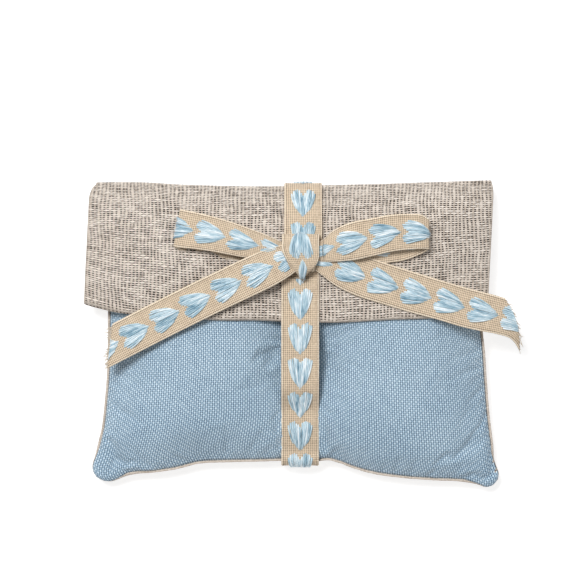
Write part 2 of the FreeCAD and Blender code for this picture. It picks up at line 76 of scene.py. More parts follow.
def hermite(knots, values, at):
    """A smooth curve through values (n, k) at knots, read at the places at."""
    knots, values, at = np.asarray(knots, float), np.asarray(values, float), np.asarray(at, float)
    gap = np.diff(knots)
    slope = np.diff(values, axis=0) / gap[:, None]
    tangent = np.empty_like(values)
    tangent[1:-1] = (slope[:-1] * gap[1:, None] + slope[1:] * gap[:-1, None]) / (gap[:-1] + gap[1:])[:, None]
    tangent[0], tangent[-1] = slope[0], slope[-1]
    i = np.clip(np.searchsorted(knots, at, side="right") - 1, 0, len(gap) - 1)
    h = gap[i][..., None]
    t = ((at - knots[i]) / gap[i])[..., None]
    return (
        (2 * t**3 - 3 * t**2 + 1) * values[i]
        + (t**3 - 2 * t**2 + t) * h * tangent[i]
        + (3 * t**2 - 2 * t**3) * values[i + 1]
        + (t**3 - t**2) * h * tangent[i + 1]
    )


def chord_knots(points):
    return np.concatenate([[0], np.cumsum(np.linalg.norm(np.diff(points, axis=0), axis=1))])


def curve(points, count):
    """count points spaced evenly along a smooth curve through points."""
    points = np.asarray(points, float)
    fine = hermite(chord_knots(points), points, np.linspace(0, chord_knots(points)[-1], 40 * len(points)))
    run = chord_knots(fine)
    at = np.linspace(0, run[-1], count)
    return np.stack([np.interp(at, run, column) for column in fine.T], 1)


def unit(v):
    return v / np.maximum(np.linalg.norm(v, axis=-1, keepdims=True), 1e-12)


def grid_normals(p):
    """The normals of a grid of points (rows, columns, 3); columns run along +X and rows along +Y."""
    return unit(np.cross(np.gradient(p, axis=1), np.gradient(p, axis=0)))


def smoothstep(low, high, x):
    t = np.clip((x - low) / (high - low), 0, 1)
    return t * t * (3 - 2 * t)


def soft_noise(x, y, size, seed):
    """Smooth noise from -1 to 1 with features about size across."""
    r = np.random.default_rng(seed)
    total = 0
    for _ in range(7):
        angle, phase = r.uniform(0, math.pi), r.uniform(0, 2 * math.pi)
        k = 2 * math.pi / (size * r.uniform(0.8, 1.6))
        total = total + np.sin(k * (x * math.cos(angle) + y * math.sin(angle)) + phase)
    return total / 4.0


# ---- materials


class Value:
    """A socket that takes part in sums, so that a pattern reads as a formula."""

    def __init__(self, graph, socket):
        self.graph, self.socket = graph, socket

    def __add__(self, other):
        return self.graph.op("ADD", self, other)

    def __sub__(self, other):
        return self.graph.op("SUBTRACT", self, other)

    def __rsub__(self, other):
        return self.graph.op("SUBTRACT", other, self)

    def __mul__(self, other):
        return self.graph.op("MULTIPLY", self, other)

    def __truediv__(self, other):
        return self.graph.op("DIVIDE", self, other)


class Graph:
    """A material's node tree, and the few ways that this file adds to it."""

    def __init__(self, name):
        self.mat = bpy.data.materials.new(name)
        self.mat.use_nodes = True
        self.tree = self.mat.node_tree
        self.shader = next(n for n in self.tree.nodes if n.type == "BSDF_PRINCIPLED")

    def put(self, target, source):
        if isinstance(source, Value):
            self.tree.links.new(source.socket, target)
        else:
            target.default_value = source

    def op(self, kind, *sources, clamp=False):
        node = self.tree.nodes.new("ShaderNodeMath")
        node.operation = kind
        node.use_clamp = clamp
        for target, source in zip(node.inputs, sources):
            self.put(target, source)
        return Value(self, node.outputs[0])

    def uv(self):
        """The piece's own flat coordinates, in millimetres: across, and along."""
        node = self.tree.nodes.new("ShaderNodeUVMap")
        node.uv_map = "flat"
        split = self.tree.nodes.new("ShaderNodeSeparateXYZ")
        self.tree.links.new(node.outputs[0], split.inputs[0])
        return Value(self, split.outputs[0]), Value(self, split.outputs[1])

    def plain(self):
        """How far a point lies on a turned edge, where the weave is seen side on and its holes close."""
        node = self.tree.nodes.new("ShaderNodeAttribute")
        node.attribute_name = "plain"
        return Value(self, node.outputs["Fac"])

    def noise(self, x, y, z, detail=2.0):
        """Noise from 0 to 1 at a place."""
        place = self.tree.nodes.new("ShaderNodeCombineXYZ")
        for target, source in zip(place.inputs, (x, y, z)):
            self.put(target, source)
        node = self.tree.nodes.new("ShaderNodeTexNoise")
        self.tree.links.new(place.outputs[0], node.inputs["Vector"])
        node.inputs["Scale"].default_value = 1.0
        node.inputs["Detail"].default_value = detail
        return Value(self, node.outputs[0])

    def paint(self, factor, stops):
        """Sets the base colour by factor: stops is a list of (place, (r, g, b))."""
        node = self.tree.nodes.new("ShaderNodeValToRGB")
        self.put(node.inputs[0], factor)
        elements = node.color_ramp.elements
        while len(elements) < len(stops):
            elements.new(0.5)
        for element, (place, colour) in zip(elements, stops):
            element.position = place
            element.color = (*colour, 1)
        self.put(self.shader.inputs["Base Color"], Value(self, node.outputs[0]))

    def bump(self, height, distance):
        """Relief of up to distance, in metres."""
        node = self.tree.nodes.new("ShaderNodeBump")
        node.inputs["Strength"].default_value = 1.0
        node.inputs["Distance"].default_value = distance
        self.put(node.inputs["Height"], height)
        self.tree.links.new(node.outputs[0], self.shader.inputs["Normal"])

    def set(self, **values):
        for key, value in values.items():
            self.shader.inputs[key.replace("_", " ")].default_value = value
        return self.mat


# The spacing of the warp and of the weft yarns, in millimetres.
LINEN_PITCH = (0.97, 0.61)
CANVAS_PITCH = (0.6, 0.585)
RIBBON_PITCH = (0.56, 0.5)


def weave(g, pitch, width, slub, wander, seed, bridge=0.0):
    """A plain weave.  Returns its height, each yarn's own shade, whether the warp is on top, and the coordinates
    counted in yarns.  width is a yarn's share of its pitch, both ways, slub is how much that varies, wander is
    how far yarns stray, and bridge raises the stretches of weft that cross the gaps between the warps."""
    across, along = g.uv()
    drift = g.noise(across * 0.09, along * 0.09, seed, detail=1.0)
    drift_2 = g.noise(across * 0.09, along * 0.09, seed + 5.0, detail=1.0)
    x = across / pitch[0] + (drift - 0.5) * wander
    y = along / pitch[1] + (drift_2 - 0.5) * wander
    column, row = g.op("FLOOR", x), g.op("FLOOR", y)
    fx, fy = x - column - 0.5, y - row - 0.5
    side = g.op("FRACT", (column + row) * 0.5) * -4.0 + 1.0
    yarn_x = g.noise(column * 5.31, y * 0.22, seed + 1.0, detail=1.0)
    yarn_y = g.noise(x * 0.22, row * 5.17, seed + 2.0, detail=1.0)

    def yarn(off, own, run, over, share):
        half = (own - 0.5) * slub + share / 2
        inside = g.op("MAXIMUM", 1.0 - g.op("POWER", g.op("ABSOLUTE", off / half), 2.6), 0.0)
        round_top = g.op("POWER", inside, 0.4)
        rise = g.op("COSINE", run * math.pi) * over
        on = g.op("MULTIPLY", inside, 9.0, clamp=True)
        return (round_top * 0.55 + rise * 0.4 + 0.1) * on - (1.0 - on), on

    warp, warp_on = yarn(fx, yarn_x, fy, side, width[0])
    weft, weft_on = yarn(fy, yarn_y, fx, side * -1.0, width[1])
    height = g.op("MAXIMUM", warp, weft) + (1.0 - warp_on) * weft_on * bridge
    warp_on_top = g.op("GREATER_THAN", warp, weft)
    shade = yarn_x * warp_on_top + yarn_y * (1.0 - warp_on_top)
    return height, shade, warp_on_top, x, y


def linen():
    g = Graph("linen")
    height, shade, warp_on_top, x, y = weave(g, LINEN_PITCH, (0.55, 0.54), 0.56, 1.9, 3.0, bridge=0.62)
    fibre = g.noise(x * 5.0, y * 5.0, 9.0, detail=3.0)
    patch = g.noise(x * 0.06, y * 0.05, 4.0)
    # The tone follows the weave's height, so the yarns' flanks and the holes between them go near black: painted
    # shade.
    tone = g.op("ADD", height * 0.34 + 0.44, (shade - 0.5) * 0.6 + (fibre - 0.5) * 0.35, clamp=True)
    # A diagonal ripple across the yarn cells: painted shade, as if light fell from the upper left.
    painted_slant_shade = g.op("COSINE", (x - y) * math.pi) * -1.0
    tone = tone + (patch - 0.5) * 0.16 + painted_slant_shade * 0.07 - warp_on_top * 0.03 - 0.02
    turned = g.plain()
    tone = tone * (1.0 - turned) + (fibre * 0.3 + shade * 0.3 + 0.35) * turned
    g.paint(tone, [
        (0.0, (0.010, 0.005, 0.003)),
        (0.28, (0.036, 0.02, 0.011)),
        (0.44, (0.33, 0.265, 0.21)),
        (0.66, (0.62, 0.54, 0.465)),
        (1.0, (0.84, 0.77, 0.70)),
    ])  # fmt: skip
    g.bump(height * 0.7 + fibre * 0.35, 0.00016)
    return g.set(Roughness=0.9, Sheen_Weight=0.12, Sheen_Roughness=0.6, Specular_IOR_Level=0.15)


def canvas():
    g = Graph("blue_canvas")
    height, shade, warp_on_top, x, y = weave(g, CANVAS_PITCH, (0.76, 0.74), 0.14, 0.7, 17.0)
    fibre = g.noise(x * 4.0, y * 4.0, 2.0)
    patch = g.noise(x * 0.03, y * 0.03, 6.0)
    # The tone follows the weave's height, so the yarns' flanks and the gaps between them go dark: painted shade.
    tone = g.op("ADD", height * 0.6 + 0.16, (shade - 0.5) * 0.15 + (fibre - 0.5) * 0.1, clamp=True)
    tone = tone + (patch - 0.5) * 0.14 + warp_on_top * 0.2 - 0.06
    g.paint(tone, [
        (0.0, (0.004, 0.02, 0.055)),
        (0.3, (0.035, 0.095, 0.18)),
        (0.58, (0.25, 0.37, 0.49)),
        (0.82, (0.49, 0.63, 0.735)),
        (1.0, (0.74, 0.845, 0.90)),
    ])  # fmt: skip
    g.bump(height * 0.8 + fibre * 0.2, 0.00012)
    return g.set(Roughness=0.75, Sheen_Weight=0.3, Sheen_Roughness=0.45, Specular_IOR_Level=0.25)


# How far from the ribbon's middle its selvedge begins, and the middle and half width of the thin line of painted
# shade beside it.
SELVEDGE_AT = 4.55
SHADE_LINE_AT, SHADE_LINE_HALF = 4.42, 0.1


def ribbon():
    g = Graph("tan_ribbon")
    height, shade, _, x, y = weave(g, RIBBON_PITCH, (0.82, 0.78), 0.12, 0.25, 29.0)
    fibre = g.noise(x * 4.0, y * 4.0, 1.0)
    across, _ = g.uv()
    edge = g.op("GREATER_THAN", g.op("ABSOLUTE", across), SELVEDGE_AT)
    # A thin line just inside each selvedge, darkened below as painted shade.
    painted_groove_shade = g.op("COMPARE", g.op("ABSOLUTE", across), SHADE_LINE_AT, SHADE_LINE_HALF)
    # The tone follows the weave's height, so the yarns' flanks and the gaps between them go dark: painted shade.
    tone = g.op("ADD", height * 0.62 + 0.22, (shade - 0.5) * 0.3 + (fibre - 0.5) * 0.25, clamp=True)
    tone = tone + edge * 0.16 - painted_groove_shade * 0.22
    g.paint(tone, [
        (0.0, (0.06, 0.045, 0.035)),
        (0.3, (0.24, 0.18, 0.13)),
        (0.62, (0.56, 0.435, 0.31)),
        (0.85, (0.75, 0.61, 0.45)),
        (1.0, (0.88, 0.77, 0.62)),
    ])  # fmt: skip
    g.bump(height * 0.8 + fibre * 0.2, 0.00012)
    return g.set(Roughness=0.8, Sheen_Weight=0.1, Sheen_Roughness=0.5, Specular_IOR_Level=0.25)


def heart_yarn():
    """The floats of the hearts; their flat coordinates count the strands across."""
    g = Graph("heart_yarn")
    across, along = g.uv()
    strand = g.op("FLOOR", across)
    own = g.noise(strand * 3.7, along * 0.12, 2.0, detail=1.0)
    fibre_and_sheen_streak = g.noise(across * 7.0, along * 0.55, 5.0, detail=3.0)
    # The streak noise is fibre relief in the bump. In the colour, its light and dark streaks along the strands,
    # reaching near white, are painted satin sheen, over each strand's own random tone.
    tone = (own - 0.5) * 1.9 + (fibre_and_sheen_streak - 0.5) * 2.2 + 0.52
    g.paint(tone, [
        (0.0, (0.13, 0.26, 0.36)),
        (0.28, (0.32, 0.49, 0.59)),
        (0.58, (0.56, 0.70, 0.77)),
        (1.0, (0.92, 0.96, 0.98)),
    ])  # fmt: skip
    g.bump(fibre_and_sheen_streak, 0.00006)
    return g.set(Roughness=0.36, Sheen_Weight=0.3, Sheen_Roughness=0.35, Specular_IOR_Level=0.5)


def thread():
    g = Graph("ecru_thread")
    across, along = g.uv()
    twist = g.noise(across * 6.0, along * 5.0, 3.0)
    g.paint(twist, [(0.25, (0.42, 0.33, 0.24)), (0.75, (0.80, 0.71, 0.58))])
    g.bump(twist, 0.00004)
    return g.set(Roughness=0.7, Sheen_Weight=0.2, Specular_IOR_Level=0.25)


LINEN, CANVAS, RIBBON, YARN, THREAD = linen(), canvas(), ribbon(), heart_yarn(), thread()

# ---- mesh helpers


def add_object(name, data):
    thing = bpy.data.objects.new(name, data)
    bpy.context.scene.collection.objects.link(thing)
    return thing


def make_piece(name, points, faces, uvs, materials, face_materials=None, plain=None):
    """A smooth mesh object from points and flat coordinates, both in millimetres, one coordinate per point."""
    mesh = bpy.data.meshes.new(name)
    mesh.from_pydata((np.asarray(points) * MM).tolist(), [], [list(map(int, f)) for f in faces])
    layer = mesh.uv_layers.new(name="flat")
    corners = np.empty(len(mesh.loops), int)
    mesh.loops.foreach_get("vertex_index", corners)
    layer.data.foreach_set("uv", np.asarray(uvs, float)[corners].ravel())
    for material in materials:
        mesh.materials.append(material)
    if face_materials is not None:
        mesh.polygons.foreach_set("material_index", np.asarray(face_materials, int))
    mesh.polygons.foreach_set("use_smooth", [True] * len(mesh.polygons))
    if plain is not None:
        mesh.attributes.new("plain", "FLOAT", "POINT").data.foreach_set("value", np.asarray(plain, float))
    mesh.update()
    return add_object(name, mesh)


def grid_faces(rows, columns, start=0, flip=False):
    i, j = np.meshgrid(np.arange(rows - 1), np.arange(columns - 1), indexing="ij")
    a = (start + i * columns + j).ravel()
    quads = np.stack([a, a + 1, a + columns + 1, a + columns], 1)
    return quads[:, ::-1] if flip else quads


FLOOR_GAP = 0.02


class Heap:
    """Meshes gathered into one piece, kept above the floor."""

    def __init__(self):
        self.points, self.faces, self.uvs, self.count = [], [], [], 0

    def add(self, points, faces, uvs):
        points = np.asarray(points, float).reshape(-1, 3)
        self.points.append(points)
        self.faces += [[int(k) + self.count for k in f] for f in faces]
        self.uvs.append(np.asarray(uvs, float).reshape(-1, 2))
        self.count += len(points)

    def piece(self, name, material):
        points = np.concatenate(self.points)
        points[:, 2] = np.maximum(points[:, 2], FLOOR_GAP)
        return make_piece(name, points, self.faces, np.concatenate(self.uvs), [material])


def edge_ring(rows, columns):
    """The indices of a grid's edge, counterclockwise seen from its normal."""
    index = np.arange(rows * columns).reshape(rows, columns)
    return np.concatenate([index[0, :-1], index[:-1, -1], index[-1, :0:-1], index[:0:-1, 0]])


RIM_OUT = 0.45
RIM_UV = 0.3


def slab(p, uv, thick):
    """A cloth of some thickness about a grid of points, whose rim stands out by RIM_OUT of the thickness."""
    rows, columns = p.shape[:2]
    n = grid_normals(p)
    ring = edge_ring(rows, columns)
    flat, normal, where = p.reshape(-1, 3), n.reshape(-1, 3), uv.reshape(-1, 2)
    top, bottom = flat + normal * thick / 2, flat - normal * thick / 2
    along = np.roll(flat[ring], -1, axis=0) - np.roll(flat[ring], 1, axis=0)
    out = unit(np.cross(along, normal[ring]))
    rim = flat[ring] + out * thick * RIM_OUT
    count = rows * columns
    faces = [*grid_faces(rows, columns).tolist(), *grid_faces(rows, columns, count, True).tolist()]
    for k in range(len(ring)):
        after = (k + 1) % len(ring)
        faces.append([2 * count + k, 2 * count + after, ring[after], ring[k]])
        faces.append([count + ring[k], count + ring[after], 2 * count + after, 2 * count + k])
    uvs = np.concatenate([where, where, where[ring] + out[:, :2] * RIM_UV])
    return np.concatenate([top, bottom, rim]), faces, uvs


def rim_share(count, p, share, inner):
    """share at a slab's rim, and fading to none over the inner millimetres of its two faces, at the two sides
    and the first row."""
    rows, columns = p.shape[:2]
    across = chord_knots(p[rows // 2])
    along = chord_knots(p[:, columns // 2])
    near = np.minimum(np.minimum(across, across[-1] - across)[None, :], along[:, None])
    face = share * np.clip(1 - near / inner, 0, 1)
    out = np.full(count, share)
    out[: 2 * rows * columns] = np.tile(face.ravel(), 2)
    return out


def flat_coordinates(p):
    """Cloth coordinates of a grid, in millimetres: X across, and the length run along each column."""
    step = np.linalg.norm(np.diff(p, axis=0), axis=2).mean(axis=1)
    run = np.concatenate([[0], np.cumsum(step)])
    return np.stack([p[..., 0], np.broadcast_to(run[:, None], p.shape[:2])], 2)


def add_tube(heap, path, radius, one, two, sides, uv_turn, along):
    """A thin closed tube about a path.  one and two span its section at each station, uv_turn divides the
    angle round it into a flat coordinate, and along is the other coordinate."""
    ring = np.linspace(0, 2 * math.pi, sides + 1)[:-1]
    section = np.cos(ring)[None, :, None] * one[:, None] + np.sin(ring)[None, :, None] * two[:, None]
    points = path[:, None] + np.reshape(radius, (-1, 1, 1)) * section
    last = (len(path) - 1) * sides
    faces = []
    for start in range(0, last, sides):
        for j in range(sides):
            a, b = start + j, start + (j + 1) % sides
            faces.append([a, b, b + sides, a + sides])
    faces += [list(range(sides))[::-1], list(range(last, last + sides))]
    heap.add(points, faces, np.dstack(np.broadcast_arrays(ring[None] / uv_turn, along[:, None])))


# ---- cushion

# The heights of the seam and of the stuffed inside's flat bottom.
SEAM_Z = 6.1
REST_Z = 0.75
FRONT_COLUMNS, FRONT_ROWS = 121, 89

# The cushion's four seams in plan, as the photograph shows its outline.
SEAM_BOTTOM = [
    (-54.9, -37.9), (-53.3, -38.75), (-51.3, -38.95), (-49.3, -38.2), (-47.1, -37.1), (-38.3, -35.9),
    (-33.9, -35.2), (-27.8, -33.7), (-20.6, -33.3), (-11.9, -33.1), (-5.6, -32.9), (0.0, -32.9), (4.0, -32.9),
    (7.1, -32.8), (9.8, -33.5), (13.8, -35.0), (19.0, -36.4), (25.7, -37.4), (34.4, -38.1), (43.3, -38.7),
    (46.8, -39.7), (49.0, -40.5), (50.7, -39.9), (51.9, -38.5),
]  # fmt: skip
SEAM_LEFT = [
    (-54.9, -37.9), (-55.9, -36.2), (-55.9, -34.5), (-55.2, -32.6), (-54.3, -30.0), (-53.0, -25.1), (-52.2, -18.5),
    (-51.5, -9.7), (-51.3, 0.0), (-51.3, 8.0), (-51.8, 18.0), (-52.7, 28.0), (-53.6, 38.6),
]  # fmt: skip
SEAM_RIGHT = [
    (51.9, -38.5), (52.1, -37.0), (51.6, -35.6), (50.8, -33.5), (49.9, -28.0), (49.0, -20.7), (48.4, -13.2),
    (47.7, -3.1), (47.3, 0.4), (47.3, 8.0), (47.6, 18.0), (48.4, 28.0), (49.2, 38.6),
]  # fmt: skip
SEAM_TOP = [(-53.6, 38.6), (-30.0, 38.6), (0.0, 38.4), (25.0, 38.6), (49.2, 38.6)]


def cushion_plan():
    """(x, y) over the cushion, by rows and columns: a patch spanned by its four seams."""
    bottom, top = curve(SEAM_BOTTOM, FRONT_COLUMNS), curve(SEAM_TOP, FRONT_COLUMNS)
    left, right = curve(SEAM_LEFT, FRONT_ROWS), curve(SEAM_RIGHT, FRONT_ROWS)
    u = np.linspace(0, 1, FRONT_COLUMNS)[None, :, None]
    v = np.linspace(0, 1, FRONT_ROWS)[:, None, None]
    sides = left[:, None] * (1 - u) + right[:, None] * u
    ends = bottom[None] * (1 - v) + top[None] * v
    corners = (bottom[0] * (1 - u) + bottom[-1] * u) * (1 - v) + (top[0] * (1 - u) + top[-1] * u) * v
    return sides + ends - corners


# Hollows pressed beside the ribbon: x, y, half width, half length and depth.
DIMPLES = (
    (-8.6, -5.6, 3.3, 5.2, 2.3),
    (5.2, -7.4, 2.6, 5.0, 2.2),
    (-9.5, -17.0, 5.0, 7.0, 0.5),
)
PINCH_LEAST, PINCH_MORE = 1.3, 3.1


def cushion_shape():
    """The front and the back of the stuffed cushion as two grids that share their edge."""
    plan = cushion_plan()
    u = np.linspace(-1, 1, FRONT_COLUMNS)[None, :]
    v = np.linspace(-1, 1, FRONT_ROWS)[:, None]
    x, y = plan[..., 0], plan[..., 1]
    seam = SEAM_Z - 1.5 * np.abs(u * v) ** 6 + 0.25 * soft_noise(x, y, 22, 5)
    full = (1 - np.abs(u) ** 3.6) ** 0.8 * (1 - np.abs(v) ** 3.6) ** 0.8
    front = seam + (CROWN - 0.55 - SEAM_Z) * full
    off = np.abs(x - RIBBON_MID + 0.3)
    near_ribbon = 0.6 * np.exp(-((off / 7.2) ** 2)) + 0.4 * np.exp(-((off / 17.0) ** 2))
    pinch = PINCH_MORE * smoothstep(-34, -10, y) * (1 - smoothstep(-4, 9, y)) + PINCH_LEAST
    front -= near_ribbon * pinch * np.minimum(full * 2, 1)
    for dx, dy, wide, long, deep in DIMPLES:
        front -= deep * np.exp(-(((x - dx) / wide) ** 2) - ((y - dy) / long) ** 2)
    back = seam - (SEAM_Z - REST_Z) * (1 - np.abs(u) ** 7) * (1 - np.abs(v) ** 7)
    back = np.maximum(back, REST_Z)
    return np.dstack([x, y, front]), np.dstack([x, y, back])


def closed_cushion(front, back):
    """One closed mesh of the two grids: its points, its faces, and each back point's index."""
    rows, columns = front.shape[:2]
    count = rows * columns
    edge = np.zeros((rows, columns), bool)
    edge[[0, -1], :] = edge[:, [0, -1]] = True
    back_index = np.arange(count).reshape(rows, columns)
    back_index[~edge] = count + np.arange((~edge).sum())
    points = np.concatenate([front.reshape(-1, 3), back[~edge]])
    quads = grid_faces(rows, columns)
    back_quads = back_index.ravel()[grid_faces(rows, columns, flip=True)]
    return points, np.concatenate([quads, back_quads]), back_index


# The simulation runs at ten times the size, where the solver is steadier; a point may move SIM_CAP millimetres.
SIM_SCALE = 10.0
SIM_FRAMES = 18
SIM_CAP = 1.6
HOLD_UNDER_RIBBON = 0.8


def stuffed(front, back):
    """Lets the cushion's cloth, a little too large for its seams, settle under pressure."""
    points, faces, back_index = closed_cushion(front, back)
    rows, columns = front.shape[:2]
    mesh = bpy.data.meshes.new("stuffing")
    mesh.from_pydata((points * MM * SIM_SCALE).tolist(), [], faces.tolist())
    body = add_object("stuffing", mesh)
    held = np.zeros(len(points))
    ring = edge_ring(rows, columns)
    held[ring] = 1.0
    under_ribbon = np.abs(points[:, 0] - RIBBON_MID) < RIBBON_WIDE / 2
    held[under_ribbon] = HOLD_UNDER_RIBBON
    flat_back = np.zeros(len(points), bool)
    flat_back[np.unique(back_index)] = True
    flat_back[: rows * columns] = False
    held[flat_back & (points[:, 2] < REST_Z + 0.3)] = 1.0
    group = body.vertex_groups.new(name="held")
    for k in np.nonzero(held)[0]:
        group.add([int(k)], float(held[k]), "REPLACE")
    cloth = body.modifiers.new("Cloth", "CLOTH")
    s = cloth.settings
    s.quality = 7
    s.mass = 0.25
    s.tension_stiffness = s.compression_stiffness = 18
    s.shear_stiffness = 7
    s.bending_stiffness = 0.35
    s.use_pressure = True
    s.uniform_pressure_force = 3.2
    s.vertex_group_mass = "held"
    s.pin_stiffness = 1.0
    s.shrink_min = s.shrink_max = -0.025
    s.effector_weights.gravity = 0
    cloth.collision_settings.use_collision = False
    cloth.point_cache.frame_start, cloth.point_cache.frame_end = 1, SIM_FRAMES
    for number in range(1, SIM_FRAMES + 1):
        bpy.context.scene.frame_set(number)
    done = body.evaluated_get(bpy.context.evaluated_depsgraph_get()).to_mesh()
    settled = np.empty(len(points) * 3)
    done.vertices.foreach_get("co", settled)
    settled = settled.reshape(-1, 3) / MM / SIM_SCALE
    bpy.context.scene.frame_set(1)
    bpy.data.objects.remove(body)
    move = settled - points
    move *= np.minimum(1, SIM_CAP / np.maximum(np.linalg.norm(move, axis=1), 1e-9))[:, None]
    points = points + move
    points[:, 2] = np.maximum(points[:, 2], REST_Z)
    return points[: rows * columns].reshape(rows, columns, 3), points[back_index]


front, back = cushion_shape()
front, back = stuffed(front, back)

# The canvas's flat coordinates: the cloth before it is sewn and stuffed.
PLAN_U = np.linspace(-53.5, 50.5, FRONT_COLUMNS)
PLAN_V = np.linspace(-39.0, 40.0, FRONT_ROWS)
CLOTH_UV = np.dstack(np.meshgrid(PLAN_U, PLAN_V))


def refined(p, times=2):
    """The same smooth grid with more rows and columns."""
    for axis in (0, 1):
        count = p.shape[axis]
        rest = np.moveaxis(p, axis, 0)
        shape = rest.shape
        at = np.linspace(0, count - 1, (count - 1) * times + 1)
        fine = hermite(np.arange(count), rest.reshape(count, -1), at)
        p = np.moveaxis(fine.reshape(-1, *shape[1:]), 0, axis)
    return p


MOUTH_ROW = int(round(0.93 * (FRONT_ROWS - 1)))


def make_cushion():
    """The stuffed inside with its canvas front; the linen back lies against it."""
    front_fine, back_fine, uv_fine = refined(front), refined(back), refined(CLOTH_UV)
    rows, columns = front_fine.shape[:2]
    points, faces, back_index = closed_cushion(front_fine, back_fine)
    uvs = np.zeros((len(points), 2))
    uvs[back_index.ravel()] = uv_fine.reshape(-1, 2)
    uvs[: rows * columns] = uv_fine.reshape(-1, 2)
    front_count = (rows - 1) * (columns - 1)
    row_of = np.arange(front_count) // (columns - 1)
    is_linen = np.ones(len(faces), int)
    is_linen[:front_count] = row_of >= MOUTH_ROW * 2
    piece = make_piece("cushion_front", points, faces, uvs, [CANVAS, LINEN], is_linen)
    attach(piece, "pillow")
    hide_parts("front_panel", "front_lining", "filling_pad")


LINEN_THICK = 0.55
BACK_ROWS_TO_FOLD = FRONT_ROWS - 3


def fold_x(u):
    """X along the flap's fold, from its left end at 0 to its right end at 1."""
    return FLAP_LO[0] + 3.2 + u * (FLAP_HI[0] - 0.1 - FLAP_LO[0] - 3.2)


# How far the fold stands out of its straight line at some places along X.
FOLD_AT = [-56, -39, -33, -25, -5, 4.5, 20, 34, 45, 52]
FOLD_OUT = [0.55, 0.4, 0.0, -0.35, -0.5, -0.3, 0.1, 0.55, 0.95, 1.1]


def fold_y(x):
    """Y of the flap's fold: drawn in a little under the ribbon, and a little uneven."""
    out = hermite(FOLD_AT, np.array(FOLD_OUT)[:, None], np.ravel(x))[:, 0]
    return FOLD_Y + out.reshape(np.shape(x)) + 0.06 * soft_noise(x, 0 * x, 14, 8)


# How far the back stands off the cushion, and where it tucks in at the two bottom corners: (corner, direction).
BACK_PROUD = LINEN_THICK / 2 + 0.12
TUCKS = ((0, (0.5, 0.5, -1.0)), (-1, (-0.5, 0.5, -1.0)))
TUCK_REACH = 7.5
FOLD_APEX_Z = 5.5


def make_back():
    """The linen back: it hugs the cushion, stands proud all round the seam, and ends in the fold.  Returns the
    line of the fold, where the flap joins it."""
    skin = back[:BACK_ROWS_TO_FOLD]
    n = -grid_normals(back)[:BACK_ROWS_TO_FOLD]
    n[0, :] = n[0, :] * 0.3 + np.array([0, -1.0, 0.25])
    n[:, 0] = n[:, 0] * 0.3 + np.array([-1.0, 0, 0.25])
    n[:, -1] = n[:, -1] * 0.3 + np.array([1.0, 0, 0.25])
    n = unit(n)
    for column, inward in TUCKS:
        far = np.linalg.norm(skin - skin[0, column], axis=2)
        near = np.exp(-((far / TUCK_REACH) ** 4))[..., None]
        n = n * (1 - near) + np.array(inward) * near
    skin = skin + n * BACK_PROUD
    u = np.linspace(0, 1, FRONT_COLUMNS)
    x = fold_x(u)
    apex = np.stack([x, fold_y(x) - 0.3, np.full_like(x, FOLD_APEX_Z)], 1)
    last, before = skin[-1], skin[-3]
    rows = []
    for t in np.linspace(0, 1, 10)[1:]:
        lead = last + (last - before) * 0.7
        under = apex + np.array([0, -0.3, -2.2])
        rows.append((1 - t) ** 3 * last + 3 * (1 - t) ** 2 * t * lead + 3 * (1 - t) * t**2 * under + t**3 * apex)
    whole = refined(np.concatenate([skin, np.array(rows)]))
    whole[..., 2] = np.maximum(whole[..., 2], LINEN_THICK / 2)
    flipped = whole[:, ::-1]
    uv = flat_coordinates(flipped)
    points, faces, uvs = slab(flipped, uv, LINEN_THICK)
    turned = rim_share(len(points), flipped, 0.95, 1.8)
    piece = make_piece("linen_back", points, faces, uvs, [LINEN], plain=turned)
    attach(piece, "pillow")
    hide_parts("back_panel", "back_lining", "seam_thread_left", "seam_thread_right", "seam_thread_bottom")
    return apex


def bvh_of(p):
    rows, columns = p.shape[:2]
    return BVHTree.FromPolygons([Vector(q) for q in p.reshape(-1, 3)], grid_faces(rows, columns).tolist())


FRONT_TREE = bvh_of(front)


def height_of(tree, x, y, missing):
    """Height of a surface at each (x, y), looking straight down; missing where there is none."""
    out = np.full(np.shape(x), missing, float)
    for k in np.ndindex(out.shape):
        hit = tree.ray_cast(Vector((float(x[k]), float(y[k]), 60.0)), Vector((0, 0, -1)))[0]
        if hit is not None:
            out[k] = hit.z
    return out


FLAP_COLUMNS, FLAP_ROWS = 121, 45
FLAP_U = np.linspace(0, 1, FLAP_COLUMNS)
FLAP_V = np.linspace(0, 1, FLAP_ROWS) ** 0.9


def flap_plan():
    """(x, y) over the flap, from the free edge to the fold."""
    u, v = FLAP_U[None, :], FLAP_V[:, None]
    corner = np.clip((v - 0.87) / 0.13, 0, 1)
    corner = 0.45 * corner**2 + 0.55 * (1 - np.sqrt(1 - corner**2))
    left = FLAP_LO[0] + 1.5 * v + 1.7 * corner
    right = FLAP_HI[0] - 1.3 + 1.8 * v - 0.6 * corner
    x = left + u * (right - left)
    free = FLAP_LO[1] - 0.3 + 4.9 * np.exp(-u / 0.13) + 2.0 * u**5.5
    free = free - 0.5 * np.exp(-(((u - 0.62) / 0.09) ** 2))
    free = free + 0.12 * soft_noise(x[:1], 0 * x[:1], 12, 14)
    return x, free + v * (fold_y(x) - free)


FLAP_MID, FLAP_REACH = -2.1, 58.5
FLAP_EDGE_Z = 7.0


def flap_height(x, y):
    """Z of the flap's outer surface: highest over the middle, and down to its edges at the sides and the fold."""
    across = np.abs(x - FLAP_MID) / FLAP_REACH
    along = np.clip(y, 0, None) / (FOLD_Y + 0.35)
    rise = FLAP_CROWN - 0.45 - FLAP_EDGE_Z
    z = FLAP_EDGE_Z + rise * (1 - np.clip(across, 0, 1) ** 3.2) * (1 - np.clip(along, 0, 1) ** 6)
    return z + 0.22 * soft_noise(x, y, 24, 21) + 0.12 * soft_noise(x, y, 9, 22)


# The body and the two places of a bend for cloth that crosses the fold; no bend is made from them.
FOLD_BEND = ("pillow", (0, 0, 5.5), (0, 0, 8.2))
FLAP_THICK = 0.75
FACING_THICK = 0.6


